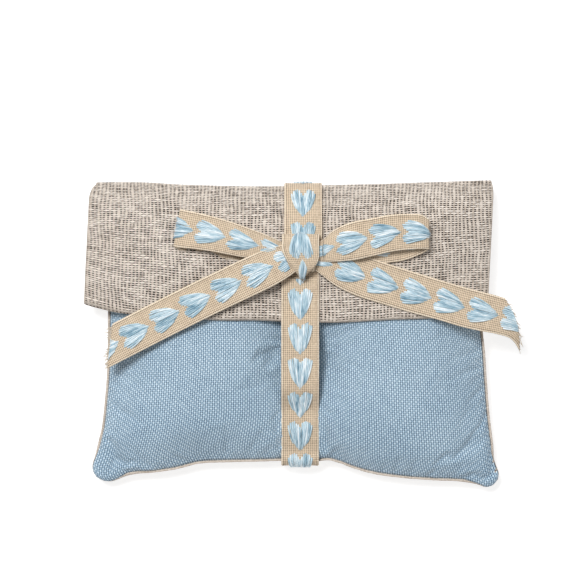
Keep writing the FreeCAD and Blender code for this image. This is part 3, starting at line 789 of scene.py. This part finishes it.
def make_flap(apex):
    """The linen flap with its turned edge, and its facing.  Returns the outer surface, for what lies on it."""
    x, y = flap_plan()
    z = flap_height(x, y)
    floor = height_of(FRONT_TREE, x, y, 0.0) + FACING_THICK + FLAP_THICK / 2 + 0.35
    z = np.maximum(z, floor)
    for _ in range(3):
        z[1:-1, 1:-1] = (z[1:-1, 1:-1] * 2 + z[:-2, 1:-1] + z[2:, 1:-1] + z[1:-1, :-2] + z[1:-1, 2:]) / 6
    u, v = FLAP_U, FLAP_V
    from_edge = np.minimum(np.minimum(u * 106, (1 - u) * 106)[None, :], (v * 35)[:, None])
    roll = (1 - np.clip(from_edge / 1.6, 0, 1)) ** 2
    top = np.dstack([x, y, z - 0.4 * roll])
    turn = np.array([top[-1] * (1 - t) + apex * t for t in (0.3, 0.6, 0.85, 1.0)])
    turn[:, :, 1] += np.array([0.35, 0.4, 0.2, 0.0])[:, None]
    whole = refined(np.concatenate([top, turn]))
    points, faces, uvs = slab(whole, flat_coordinates(whole), FLAP_THICK)
    turned = rim_share(len(points), whole, 0.85, 1.1)
    piece = make_piece("linen_flap", points, faces, uvs, [LINEN], plain=turned)
    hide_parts("flap_outer")
    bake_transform(piece)
    under = np.dstack([x, y, z - FLAP_THICK / 2 - FACING_THICK / 2 + 0.02])
    under[:12, :, 1] -= (0.1 + 0.4 * np.exp(-u / 0.13))[None, :] * (1 - v[:12] / v[12])[:, None]
    under = under[:-3]
    points, faces, uvs = slab(refined(under), flat_coordinates(refined(under)), FACING_THICK)
    facing = make_piece("flap_facing_cloth", points, faces, uvs, [LINEN])
    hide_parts("flap_facing")
    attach(facing, "flap")
    return bvh_of(whole + grid_normals(whole) * FLAP_THICK / 2)


make_cushion()
FLAP_TREE = make_flap(make_back())

# ---- ribbon


class Strip:
    """A length of ribbon.  Its two edges are smooth curves through pairs of points, and bow is how far its
    middle stands off the line between them.  The face that shows is on the side of its normal."""

    def __init__(self, pairs, bow=0.0):
        pairs = np.asarray(pairs, float)
        self.edges = pairs.reshape(len(pairs), 6)
        middle = pairs.mean(axis=1)
        self.knots = chord_knots(middle)
        self.long = float(self.knots[-1])
        self.bow = np.broadcast_to(np.asarray(bow, float), (len(pairs),)).reshape(-1, 1)

    def raw(self, s, x):
        ends = hermite(self.knots, self.edges, s)
        f = (x / RIBBON_WIDE + 0.5)[..., None]
        return ends[..., :3] * (1 - f) + ends[..., 3:] * f

    def at(self, s, x, h):
        """The point s along, x across from the middle and h above the ribbon's middle surface."""
        s, x, h = np.broadcast_arrays(*(np.asarray(a, float) for a in (s, x, h)))
        step = 0.05
        along = self.raw(s + step, x) - self.raw(s - step, x)
        ends = hermite(self.knots, self.edges, s)
        n = unit(np.cross(ends[..., 3:] - ends[..., :3], along))
        lift = hermite(self.knots, self.bow, s)[..., 0] * (1 - (2 * x / RIBBON_WIDE) ** 2)
        return self.raw(s, x) + n * (lift + h)[..., None]


RIBBON_THICK = 0.46
RIBBON_STEP = 0.5
# Where the ribbon's section has points: close together at the raised selvedges.
CROSS = np.array([-5.0, -4.85, -4.6, -4.3, -3.4, -1.7, 0.0, 1.7, 3.4, 4.3, 4.6, 4.85, 5.0])


def ribbon_mesh(heap, strip, start, end):
    """Ribbon from start to end; each is one length, or one at each edge where it is cut at a slant."""
    f = CROSS / RIBBON_WIDE + 0.5
    starts = np.interp(f, [0, 1], np.broadcast_to(start, 2))
    ends = np.interp(f, [0, 1], np.broadcast_to(end, 2))
    count = max(3, int(np.ceil((ends.max() - starts.min()) / RIBBON_STEP)) + 1)
    g = np.linspace(0, 1, count)[:, None]
    s = starts[None] * (1 - g) + ends[None] * g
    x = np.broadcast_to(CROSS[None], s.shape)
    selvedge = np.interp(np.abs(CROSS), [4.2, 4.5, 4.8, 5.0], [0, 0.1, 0.08, -0.16])
    half = np.broadcast_to((RIBBON_THICK / 2 + selvedge)[None], s.shape)
    top, bottom = strip.at(s, x, half), strip.at(s, x, -half)
    rows, columns = s.shape
    n = rows * columns
    uv = np.dstack([x, s]).reshape(-1, 2)
    ring = edge_ring(rows, columns)
    faces = [*grid_faces(rows, columns).tolist(), *grid_faces(rows, columns, n, True).tolist()]
    for k in range(len(ring)):
        a, b = ring[k], ring[(k + 1) % len(ring)]
        faces.append([n + a, n + b, b, a])
    heap.add(np.concatenate([top.reshape(-1, 3), bottom.reshape(-1, 3)]), faces, np.concatenate([uv, uv]))


# A heart's half width, where its lobes are highest, and how much its strands draw together at its tip; how far
# its lobes and its tip reach from its middle; and the length of one pick of the weave, in which its ends step.
HEART_HALF, LOBE, CLOSE = 3.2, 1.8, 0.42
LOBE_LONG, TIP_LONG = 4.15, 4.2
PICK = 0.22
STRANDS = 13
STRAND_WIDE, STRAND_HIGH = 0.56, 0.24
STRAND_STEPS, STRAND_SIDES = 9, 6


def heart(heap, strip, middle, way, limits, side=1.0, rise=0.42):
    """The floats of one woven heart, whose tip points along the ribbon if way is 1 and back if it is -1.
    limits gives the lengths that bound it at the ribbon's two edges, as ribbon_mesh has them."""
    low_at, high_at = (np.broadcast_to(k, 2) for k in limits)
    for k in range(STRANDS):
        x0 = (k / (STRANDS - 1) * 2 - 1) * (HEART_HALF - 0.12) + rng.normal(0, 0.03)
        share = min(abs(x0) / HEART_HALF, 1)
        inner = abs(x0) < LOBE
        reach, notch = (LOBE, 1.45) if inner else (HEART_HALF - LOBE, 1.1)
        lobe = LOBE_LONG - (abs(abs(x0) - LOBE) / reach) ** 2 * notch
        tip = TIP_LONG - 4.25 * ((1 - CLOSE) * share) ** 1.1 + rng.normal(0, 0.08)
        pick = PICK * (k % 2)
        lobe = round((lobe + rng.normal(0, 0.06) - pick) / (2 * PICK)) * (2 * PICK) + pick
        t = np.linspace(0, 1, STRAND_STEPS)
        run = -lobe + t * (tip + lobe)
        lean = x0 * (1 - CLOSE * t**1.5) + rng.normal(0, 0.05) * t
        s = middle + way * run
        f = lean / RIBBON_WIDE + 0.5
        low, high = np.interp(f, [0, 1], low_at) + 0.1, np.interp(f, [0, 1], high_at) - 0.1
        if s.max() < low.max() + 0.3 or s.min() > high.min() - 0.3:
            continue
        s = np.clip(s, low, high)
        arch = np.clip(np.minimum(t, 1 - t) / 0.16, 0, 1) ** 0.6
        high_point = rise * (0.9 + 0.2 * rng.random()) * arch * (1 - 0.1 * np.cos(2 * math.pi * t))
        wide = STRAND_WIDE * (0.94 + 0.16 * rng.random()) * (0.82 + 0.18 * arch) * (1 - 0.3 * t**1.5)
        turn = np.linspace(0, math.pi, STRAND_SIDES)
        x = lean[:, None] - np.cos(turn)[None] * wide[:, None] / 2
        base = RIBBON_THICK / 2 - 0.12
        h = base + np.sin(turn)[None] * STRAND_HIGH + high_point[:, None] * np.sin(turn)[None] ** 0.35
        points = strip.at(s[:, None], x, side * h)
        number = k + 20 * rng.integers(0, 50)
        uv = np.dstack(np.broadcast_arrays(number + 0.05 + turn[None] / math.pi * 0.9, s[:, None]))
        heap.add(points, grid_faces(STRAND_STEPS, STRAND_SIDES, flip=(side * way < 0)), uv)


# The spacing of the hearts along the ribbon, and as it is seen on the loops.
HEART_STEP, LOOP_STEP = 9.15, 8.85


def lay(strip, start=0.0, end=None):
    """A heap with the ribbon's ground from start to end, and an empty one for its hearts."""
    cloth = Heap()
    ribbon_mesh(cloth, strip, start, strip.long if end is None else end)
    return cloth, Heap()


def finish_ribbon(name, strip_heap, heart_heap, body, node, heart_node, blend=None):
    """The ribbon and its hearts as two pieces on a body, or, when blend is given, baked into place and left on no
    body: blend is the other body and where a bend would start and end, and only whether it is given is read."""
    ground = strip_heap.piece(name, RIBBON)
    floats = heart_heap.piece("hearts_" + name, YARN)
    for piece, stands_for, slot in ((ground, node, "tan_ribbon"), (floats, heart_node, "heart_floats")):
        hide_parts(stands_for)
        if blend:
            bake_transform(piece)
        else:
            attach(piece, body)


def straight(stations, middle, half=RIBBON_WIDE / 2):
    """Pairs for a ribbon that runs along Y: stations are (y, z), seen with its face outward."""
    return [((middle - half, y, z), (middle + half, y, z)) for y, z in stations]


# The middles of the top and the front run, the height of the ribbon under the back, and the first heart of the
# front run.
TOP_MID = RIBBON_MID + 0.45
LOW_MID = RIBBON_MID - 0.35
UNDER_Z = RIBBON_THICK / 2 + 0.06
FIRST_HEART_Y = 8.2


def lying(tree, middle, ys, gaps, missing, look_at=None):
    """Stations (y, z) of a ribbon that lies gaps above a surface, which is met at look_at if that isn't ys."""
    over = height_of(tree, np.full_like(ys, middle), ys if look_at is None else look_at, missing)
    return [(y, z + RIBBON_THICK / 2 + gap) for y, z, gap in zip(ys, over, gaps)]


def make_top_run():
    """From the knot over the flap and round the fold to the back."""
    ys = np.array([17.6, 19.5, 22.0, 26.0, 29.5, 33.0, 36.0])
    stations = lying(FLAP_TREE, TOP_MID, ys, (0.3, 0.4, 0.6, 0.9, 1.0, 0.8, 0.55), FLAP_CROWN)
    stations += [(38.5, 12.3), (39.75, 9.6), (40.1, 7.2), (39.7, 4.6)]
    stations += [(38.3, 2.2), (35.6, 0.75), (32.0, UNDER_Z)]
    strip = Strip(straight(stations, TOP_MID))
    cloth, floats = lay(strip)
    for k in range(-1, 4):
        unevenness = np.interp(k, (-1, 0, 1), (0.0, 0.7, 3.6))
        middle = 34.9 - ys[0] + k * HEART_STEP + unevenness
        heart(floats, strip, middle, -1, (0.3, strip.long - 0.3))
    finish_ribbon("ribbon_top", cloth, floats, "flap", "ribbon_top_run", "hearts_top_run", FOLD_BEND)


def make_front_run():
    """From under the knot, over the flap's edge and down the front, round the bottom seam to the back."""
    ys = np.array([15.2, 11.0, 7.0, 3.0])
    stations = lying(FLAP_TREE, LOW_MID, ys, (0.75, 0.5, 0.35, 0.35), FLAP_CROWN, look_at=np.maximum(ys, 5.0))
    edge_z = stations[-1][1]
    stations += [(-2.5, edge_z - 0.55), (-8.0, edge_z - 1.45), (-14.0, edge_z - 2.6)]
    low_ys = np.array([-20.0, -24.0, -28.0, -31.0])
    stations += lying(FRONT_TREE, LOW_MID, low_ys, (0.5, 0.25, 0.2, 0.2), SEAM_Z)
    stations += [(-33.3, 8.0), (-34.5, 6.0), (-34.2, 4.0), (-32.6, 2.2), (-29.5, 0.85), (-26.0, UNDER_Z)]
    strip = Strip(straight(stations, LOW_MID)[::-1])
    cloth, floats = lay(strip)
    first = strip.long - (ys[0] - FIRST_HEART_Y)
    for k in range(-1, 7):
        heart(floats, strip, first - k * HEART_STEP, -1, (0.3, strip.long - 0.2))
    for k in range(7):
        heart(floats, strip, first - k * HEART_STEP, -1, (12, strip.long - 0.2), side=-1.0, rise=0.05)
    bend = ("pillow", (0, 0, 5.0), (0, 0, 8.6))
    finish_ribbon("ribbon_front", cloth, floats, "front_run", "ribbon_front_run", "hearts_front_run", bend)


def make_back_run():
    """Along the flat back, from the bottom seam's side to the fold's."""
    middles = ((32.0, 0), (10.0, -0.04), (-10.0, -0.1), (-26.0, (LOW_MID - TOP_MID) / 5))
    strip = Strip([straight([(y, UNDER_Z)], TOP_MID + 5 * aside, 5.0)[0] for y, aside in middles])
    cloth, floats = lay(strip)
    for k in range(6):
        heart(floats, strip, 6.2 + k * HEART_STEP, 1, (0.3, strip.long - 0.3), rise=0.0)
    finish_ribbon("ribbon_back", cloth, floats, "pillow", "ribbon_back_run", "hearts_back_run")


make_top_run()
make_front_run()
make_back_run()

# ---- knot and bow


def edges(*stations):
    """A ribbon's pairs of edge points.  A station is x, y of each edge, and their height, or one for each."""
    return [((*row[:2], row[4]), (*row[2:4], row[-1])) for row in stations]


def make_knot():
    """The outer turn of the knot, and the folded ribbon that fills it."""
    pairs = edges(
        (-5.5, 25.4, 4.2, 25.4, 18.3), (-5.55, 26.3, 4.3, 26.3, 19.6), (-5.5, 26.1, 4.3, 26.1, 21.0),
        (-5.5, 25.0, 4.25, 25.0, 22.1), (-5.5, 22.6, 4.2, 22.6, 22.7), (-4.6, 20.4, 4.15, 20.3, 22.7),
        (-3.5, 18.7, 3.5, 18.6, 22.3), (-2.2, 17.0, 1.9, 17.0, 21.4), (-1.3, 15.9, 0.9, 16.0, 20.1),
        (-0.9, 15.3, 0.4, 15.4, 18.6),
    )  # fmt: skip
    bow = [0, 0.1, 0.2, 0.25, 0.3, 0.35, 0.5, 0.8, 1.0, 0.8]
    strip = Strip(pairs[::-1], bow[::-1])
    cloth, floats = lay(strip)
    heart(floats, strip, strip.long * 0.53 + 2.3, 1, (0.3, strip.long - 0.5))
    heart(floats, strip, strip.long * 0.53 - HEART_STEP + 2.9, 1, (1.8, strip.long - 0.5), rise=0.35)
    finish_ribbon("knot_turn", cloth, floats, "flap", "knot_wrap", "heart_knot")
    core = Heap()
    for dz, pull in ((0.0, 0.0), (1.0, 0.15), (2.0, 0.3)):
        pairs = edges(
            (-5.1 + pull, 16.6, 3.0 - pull, 16.8, 18.7 + dz), (-5.3 + pull, 20.0, 4.0 - pull, 20.0, 19.0 + dz),
            (-5.3 + pull, 25.2, 4.0 - pull, 25.2, 18.9 + dz),
        )  # fmt: skip
        layer = Strip(pairs, [0.5, 0.7, 0.4])
        ribbon_mesh(core, layer, 0.0, layer.long)
    ys = np.array([15.0, 16.5, 18.5, 20.5])
    stub = Strip(straight(lying(FLAP_TREE, LOW_MID, ys, [0.12] * 4, FLAP_CROWN), LOW_MID))
    ribbon_mesh(core, stub, 0.0, stub.long)
    piece = core.piece("knot_filling", RIBBON)
    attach(piece, "flap")
    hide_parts("knot_core")


# What the knot holds of the left tail and the right loop.
ROOTS, ROOT_HEARTS = Heap(), Heap()
LOOP_ROOT, TAIL_ROOT = 2.9, 3.7


def make_left_loop():
    pairs = edges(
        (-3.6, 24.0, -3.6, 19.6, 20.0), (-5.8, 24.7, -5.6, 19.4, 20.2), (-9.6, 26.4, -10.2, 19.8, 20.7),
        (-14.2, 28.2, -15.8, 20.5, 20.8), (-20.6, 30.4, -22.6, 21.8, 20.3), (-26.6, 32.0, -28.6, 22.7, 19.7),
        (-30.8, 32.9, -32.7, 23.1, 19.1), (-32.2, 33.15, -33.9, 23.3, 18.1), (-31.2, 32.7, -33.2, 22.8, 17.2),
        (-25.2, 30.9, -26.9, 21.1, 17.0), (-17.0, 28.4, -18.6, 19.8, 17.7), (-10.0, 25.4, -9.8, 18.9, 18.4),
        (-3.8, 23.4, -3.6, 18.6, 18.8),
    )  # fmt: skip
    bow = [0.5, 0.7, 0.8, 0.7, 0.45, 0.25, 0.1, 0, 0, -0.1, -0.3, -0.5, -0.5]
    strip = Strip(pairs, -np.array(bow))
    cloth, floats = lay(strip)
    for k in range(6):
        heart(floats, strip, 3.6 + k * LOOP_STEP, -1, (0.4, strip.long - 0.4), side=-1.0)
    for k in range(3, 6):
        heart(floats, strip, 3.6 + k * LOOP_STEP, -1, (31, strip.long - 0.4), side=1.0, rise=0.1)
    bend = ("flap", (-4.2, 22.1, 0), (-9.0, 23.1, 0))
    finish_ribbon("bow_loop_left_ribbon", cloth, floats, "loop_left", "bow_loop_left", "hearts_loop_left", bend)


def make_right_loop():
    pairs = edges(
        (2.6, 19.9, 2.6, 24.0, 20.3), (4.6, 19.4, 4.6, 24.8, 20.6), (9.0, 19.4, 8.0, 27.6, 21.3),
        (13.6, 19.8, 12.6, 29.7, 21.6), (18.2, 20.8, 17.7, 30.7, 21.4), (23.0, 21.9, 23.0, 31.7, 20.9),
        (27.2, 22.5, 28.0, 31.9, 20.4), (31.6, 22.7, 31.6, 31.5, 19.7, 20.0),
        (33.0, 22.6, 33.0, 30.4, 18.7, 19.2), (32.0, 21.9, 31.2, 30.6, 17.9, 18.3),
        (27.3, 19.9, 27.4, 29.9, 17.9, 18.0), (22.8, 19.1, 22.4, 29.0, 18.4), (16.0, 18.8, 15.0, 28.0, 18.9),
        (9.0, 18.6, 8.6, 25.4, 19.3), (2.8, 18.6, 2.8, 23.4, 19.2),
    )  # fmt: skip
    bow = [0.5, 0.7, 0.7, 0.5, 0.3, 0.2, 0.1, 0.1, 0, 0, 0, -0.2, -0.3, -0.5, -0.5]
    strip = Strip(pairs, -np.array(bow))
    root = LOOP_ROOT
    cloth, floats = lay(strip, root, strip.long - root)
    ribbon_mesh(ROOTS, strip, 0.0, root)
    ribbon_mesh(ROOTS, strip, strip.long - root, strip.long)
    for k in range(7):
        heart(floats, strip, 1.9 + k * LOOP_STEP, 1, (root, strip.long - root), side=-1.0)
    heart(ROOT_HEARTS, strip, 1.9, 1, (0.3, root), side=-1.0)
    for k in range(3, 7):
        heart(floats, strip, 1.9 + k * LOOP_STEP, 1, (33, strip.long - root), side=1.0, rise=0.1)
    finish_ribbon("bow_loop_right_ribbon", cloth, floats, "loop_right", "bow_loop_right", "hearts_loop_right")


FRAY_LONG, FRAY_THIN = 1.3, 0.1


def fray(heap, strip, cut, amount):
    """Loose ends of the ground's yarns along a cut."""
    for _ in range(amount):
        f = rng.random()
        x = (f - 0.5) * (RIBBON_WIDE - 0.3)
        s = float(np.interp(f, [0, 1], np.broadcast_to(cut, 2)))
        reach = FRAY_LONG * (0.3 + 1.2 * rng.random() ** 2)
        side, lift = rng.normal(0, 0.25), rng.normal(0, 0.25)
        t = np.linspace(0, 1, 5)
        path = strip.at(s - 0.15 + t * reach, x + side * reach * t**2, lift * reach * t**1.5)
        along = unit(np.gradient(path, axis=0))
        one = unit(np.cross(along, np.array([0.3, 0.2, 1.0])))
        add_tube(heap, path, FRAY_THIN * (1.2 - 0.6 * t), one, np.cross(along, one), 4, 3, t * reach)


def make_tail(name, strip, cut, first, count, way, side, body, fray_count, root=0.0, bend=None):
    """A tail with its cut end.  Its first root millimetres stay in the knot."""
    cloth, floats, loose = Heap(), Heap(), Heap()
    ribbon_mesh(cloth, strip, root, cut)
    for k in range(count):
        heart(floats, strip, first + k * HEART_STEP, way, (max(root - 1.4, 0.3), cut), side)
    if root:
        ribbon_mesh(ROOTS, strip, 0.0, root)
    fray(loose, strip, cut, fray_count)
    finish_ribbon(f"bow_tail_{name}_ribbon", cloth, floats, body, f"bow_tail_{name}", f"hearts_tail_{name}", bend)
    ends = loose.piece(f"frayed_end_{name}", THREAD)
    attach(ends, body)


def make_left_tail():
    start, along = np.array([-3.4, 20.4]), unit(np.array([-48.2, -23.6]))
    out = np.array([along[1], -along[0]])
    pairs = []
    stations = [
        (-1.0, 3.6, 21.0), (2.2, 4.35, 21.5), (6.0, 4.8, 21.75), (12.0, 4.95, 21.5), (19.0, 4.95, 20.6),
        (27.0, 4.95, 19.3), (36.0, 4.95, 17.7), (45.0, 4.95, 16.2), (52.0, 4.95, 15.0), (60.0, 4.95, 13.6),
    ]  # fmt: skip
    for s, half, z in stations:
        middle = start + along * s + out * 0.35 * math.sin(s / 17.0)
        pairs += edges((*(middle - out * half), *(middle + out * half), z))
    strip = Strip(pairs, [0.7, 0.5, 0.3, 0.15, 0.1, 0.1, 0.1, 0.1, 0.1, 0.1])
    make_tail("left", strip, (57.7, 51.2), 1.0, 7, -1, 1.0, "tail_left", 90, root=TAIL_ROOT)


def make_right_tail():
    pairs = edges(
        (1.8, 17.6, 2.4, 21.8, 19.1), (3.4, 16.9, 5.0, 22.4, 19.3), (8.0, 13.4, 10.6, 22.3, 19.35),
        (13.3, 10.7, 16.5, 20.8, 19.05), (21.2, 8.15, 24.1, 18.3, 18.4), (30.1, 5.5, 32.8, 15.6, 17.6),
        (36.2, 3.9, 38.7, 13.8, 17.0), (41.5, 2.3, 43.6, 12.4, 16.4), (46.8, 1.1, 48.7, 11.1, 15.8),
        (51.4, 0.2, 53.3, 9.8, 14.9, 15.3), (54.9, -1.0, 57.4, 8.6, 13.4, 14.9),
        (57.2, -4.0, 61.2, 6.5, 11.0, 14.2), (58.0, -7.5, 64.5, 3.5, 8.0, 13.2),
    )  # fmt: skip
    strip = Strip(pairs, -np.array([0.6, 0.7, 0.5, 0.3, 0.15, 0.1, 0.1, 0.1, 0.1, 0.1, 0.1, 0.1, 0.1]))
    k = strip.knots
    bend = ("flap", (3.4, 19.4, 0), (8.6, 17.8, 0))
    make_tail("right", strip, (k[11], k[9]), 1.8, 7, 1, -1.0, "tail_right", 40, bend=bend)


def make_roots():
    """The lengths of the left tail and the right loop that the knot holds."""
    ribbon_roots, heart_roots = ROOTS.piece("bow_roots", RIBBON), ROOT_HEARTS.piece("hearts_bow_roots", YARN)
    for piece, slot in ((ribbon_roots, "tan_ribbon"), (heart_roots, "heart_floats")):
        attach(piece, "flap")


make_knot()
make_left_loop()
make_left_tail()
make_right_tail()
make_right_loop()
make_roots()

# ---- mouth


STITCH_STEP, STITCH_LONG, STITCH_RADIUS = 2.6, 2.0, 0.14


def make_mouth():
    """The canvas hem along the pocket's mouth, and its row of stitches."""
    rows = slice(MOUTH_ROW - 6, MOUTH_ROW + 1)
    hem = front[rows, 2:-2].copy()
    hem = hem + grid_normals(hem) * 0.42
    uv = CLOTH_UV[rows, 2:-2]
    points, faces, uvs = slab(refined(hem), refined(uv), 0.6)
    piece = make_piece("mouth_hem", points, faces, uvs, [CANVAS])
    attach(piece, "pillow")
    line = hem[2] + grid_normals(hem)[2] * 0.3
    run = chord_knots(line)
    stitches = Heap()
    t = np.linspace(0, 1, 6)
    one, two = np.array([[0, 1.0, 0]]), np.array([[0, 0, 1.0]])
    for start in np.arange(1.0, run[-1] - 3, STITCH_STEP):
        path = np.stack([np.interp(start + t * STITCH_LONG, run, line[:, k]) for k in range(3)], 1)
        path[:, 2] += 0.16 * np.sin(math.pi * t) ** 0.5 - 0.03
        add_tube(stitches, path, STITCH_RADIUS, one, two, 6, 4, t * STITCH_LONG)
    piece = stitches.piece("mouth_stitch_row", THREAD)
    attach(piece, "pillow")
    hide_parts("mouth_stitches")


make_mouth()

# ---- floor, light and camera


def make_stage():
    bpy.ops.mesh.primitive_plane_add(size=6, location=(0, 0, 0))
    floor = bpy.context.object
    floor.name = "floor"
    g = Graph("pale_floor")
    g.set(Base_Color=(0.45, 0.45, 0.45, 1), Emission_Color=(1, 1, 1, 1))
    floor.data.materials.append(g.set(Roughness=0.95, Specular_IOR_Level=0.05, Emission_Strength=0.72))
    world = bpy.data.worlds.new("studio")
    world.use_nodes = True
    world.node_tree.nodes["Background"].inputs[0].default_value = (1, 1, 1, 1)
    world.node_tree.nodes["Background"].inputs[1].default_value = 0.3
    bpy.context.scene.world = world
    lights = (
        ("key", (-0.4, 0.6, 1.55), 0.52, 26.0),
        ("fill", (0.5, -0.25, 0.6), 0.6, 0.6),
    )
    for name, place, size, power in lights:
        data = bpy.data.lights.new(name, "AREA")
        data.size = size
        data.energy = power
        lamp = add_object(name, data)
        lamp.location = place
        lamp.rotation_euler = (-Vector(place)).to_track_quat("-Z", "Y").to_euler()


# The camera looks straight down: its distance and the width it sees at VIEW_Z, in metres, and the picture's
# middle, in millimetres.
CAMERA_FAR, VIEW_WIDE, VIEW_Z = 1.1, 0.1545, 0.012
VIEW_MID = (-2.9, 11.4)


def make_camera():
    data = bpy.data.cameras.new("camera")
    camera = add_object("camera", data)
    bpy.context.scene.camera = camera
    data.sensor_width = 36
    data.lens = 36 * CAMERA_FAR / VIEW_WIDE
    data.clip_start, data.clip_end = 0.05, 10
    camera.location = (VIEW_MID[0] * MM, VIEW_MID[1] * MM, CAMERA_FAR + VIEW_Z)


make_stage()
make_camera()
bpy.context.scene.view_settings.view_transform = "Standard"
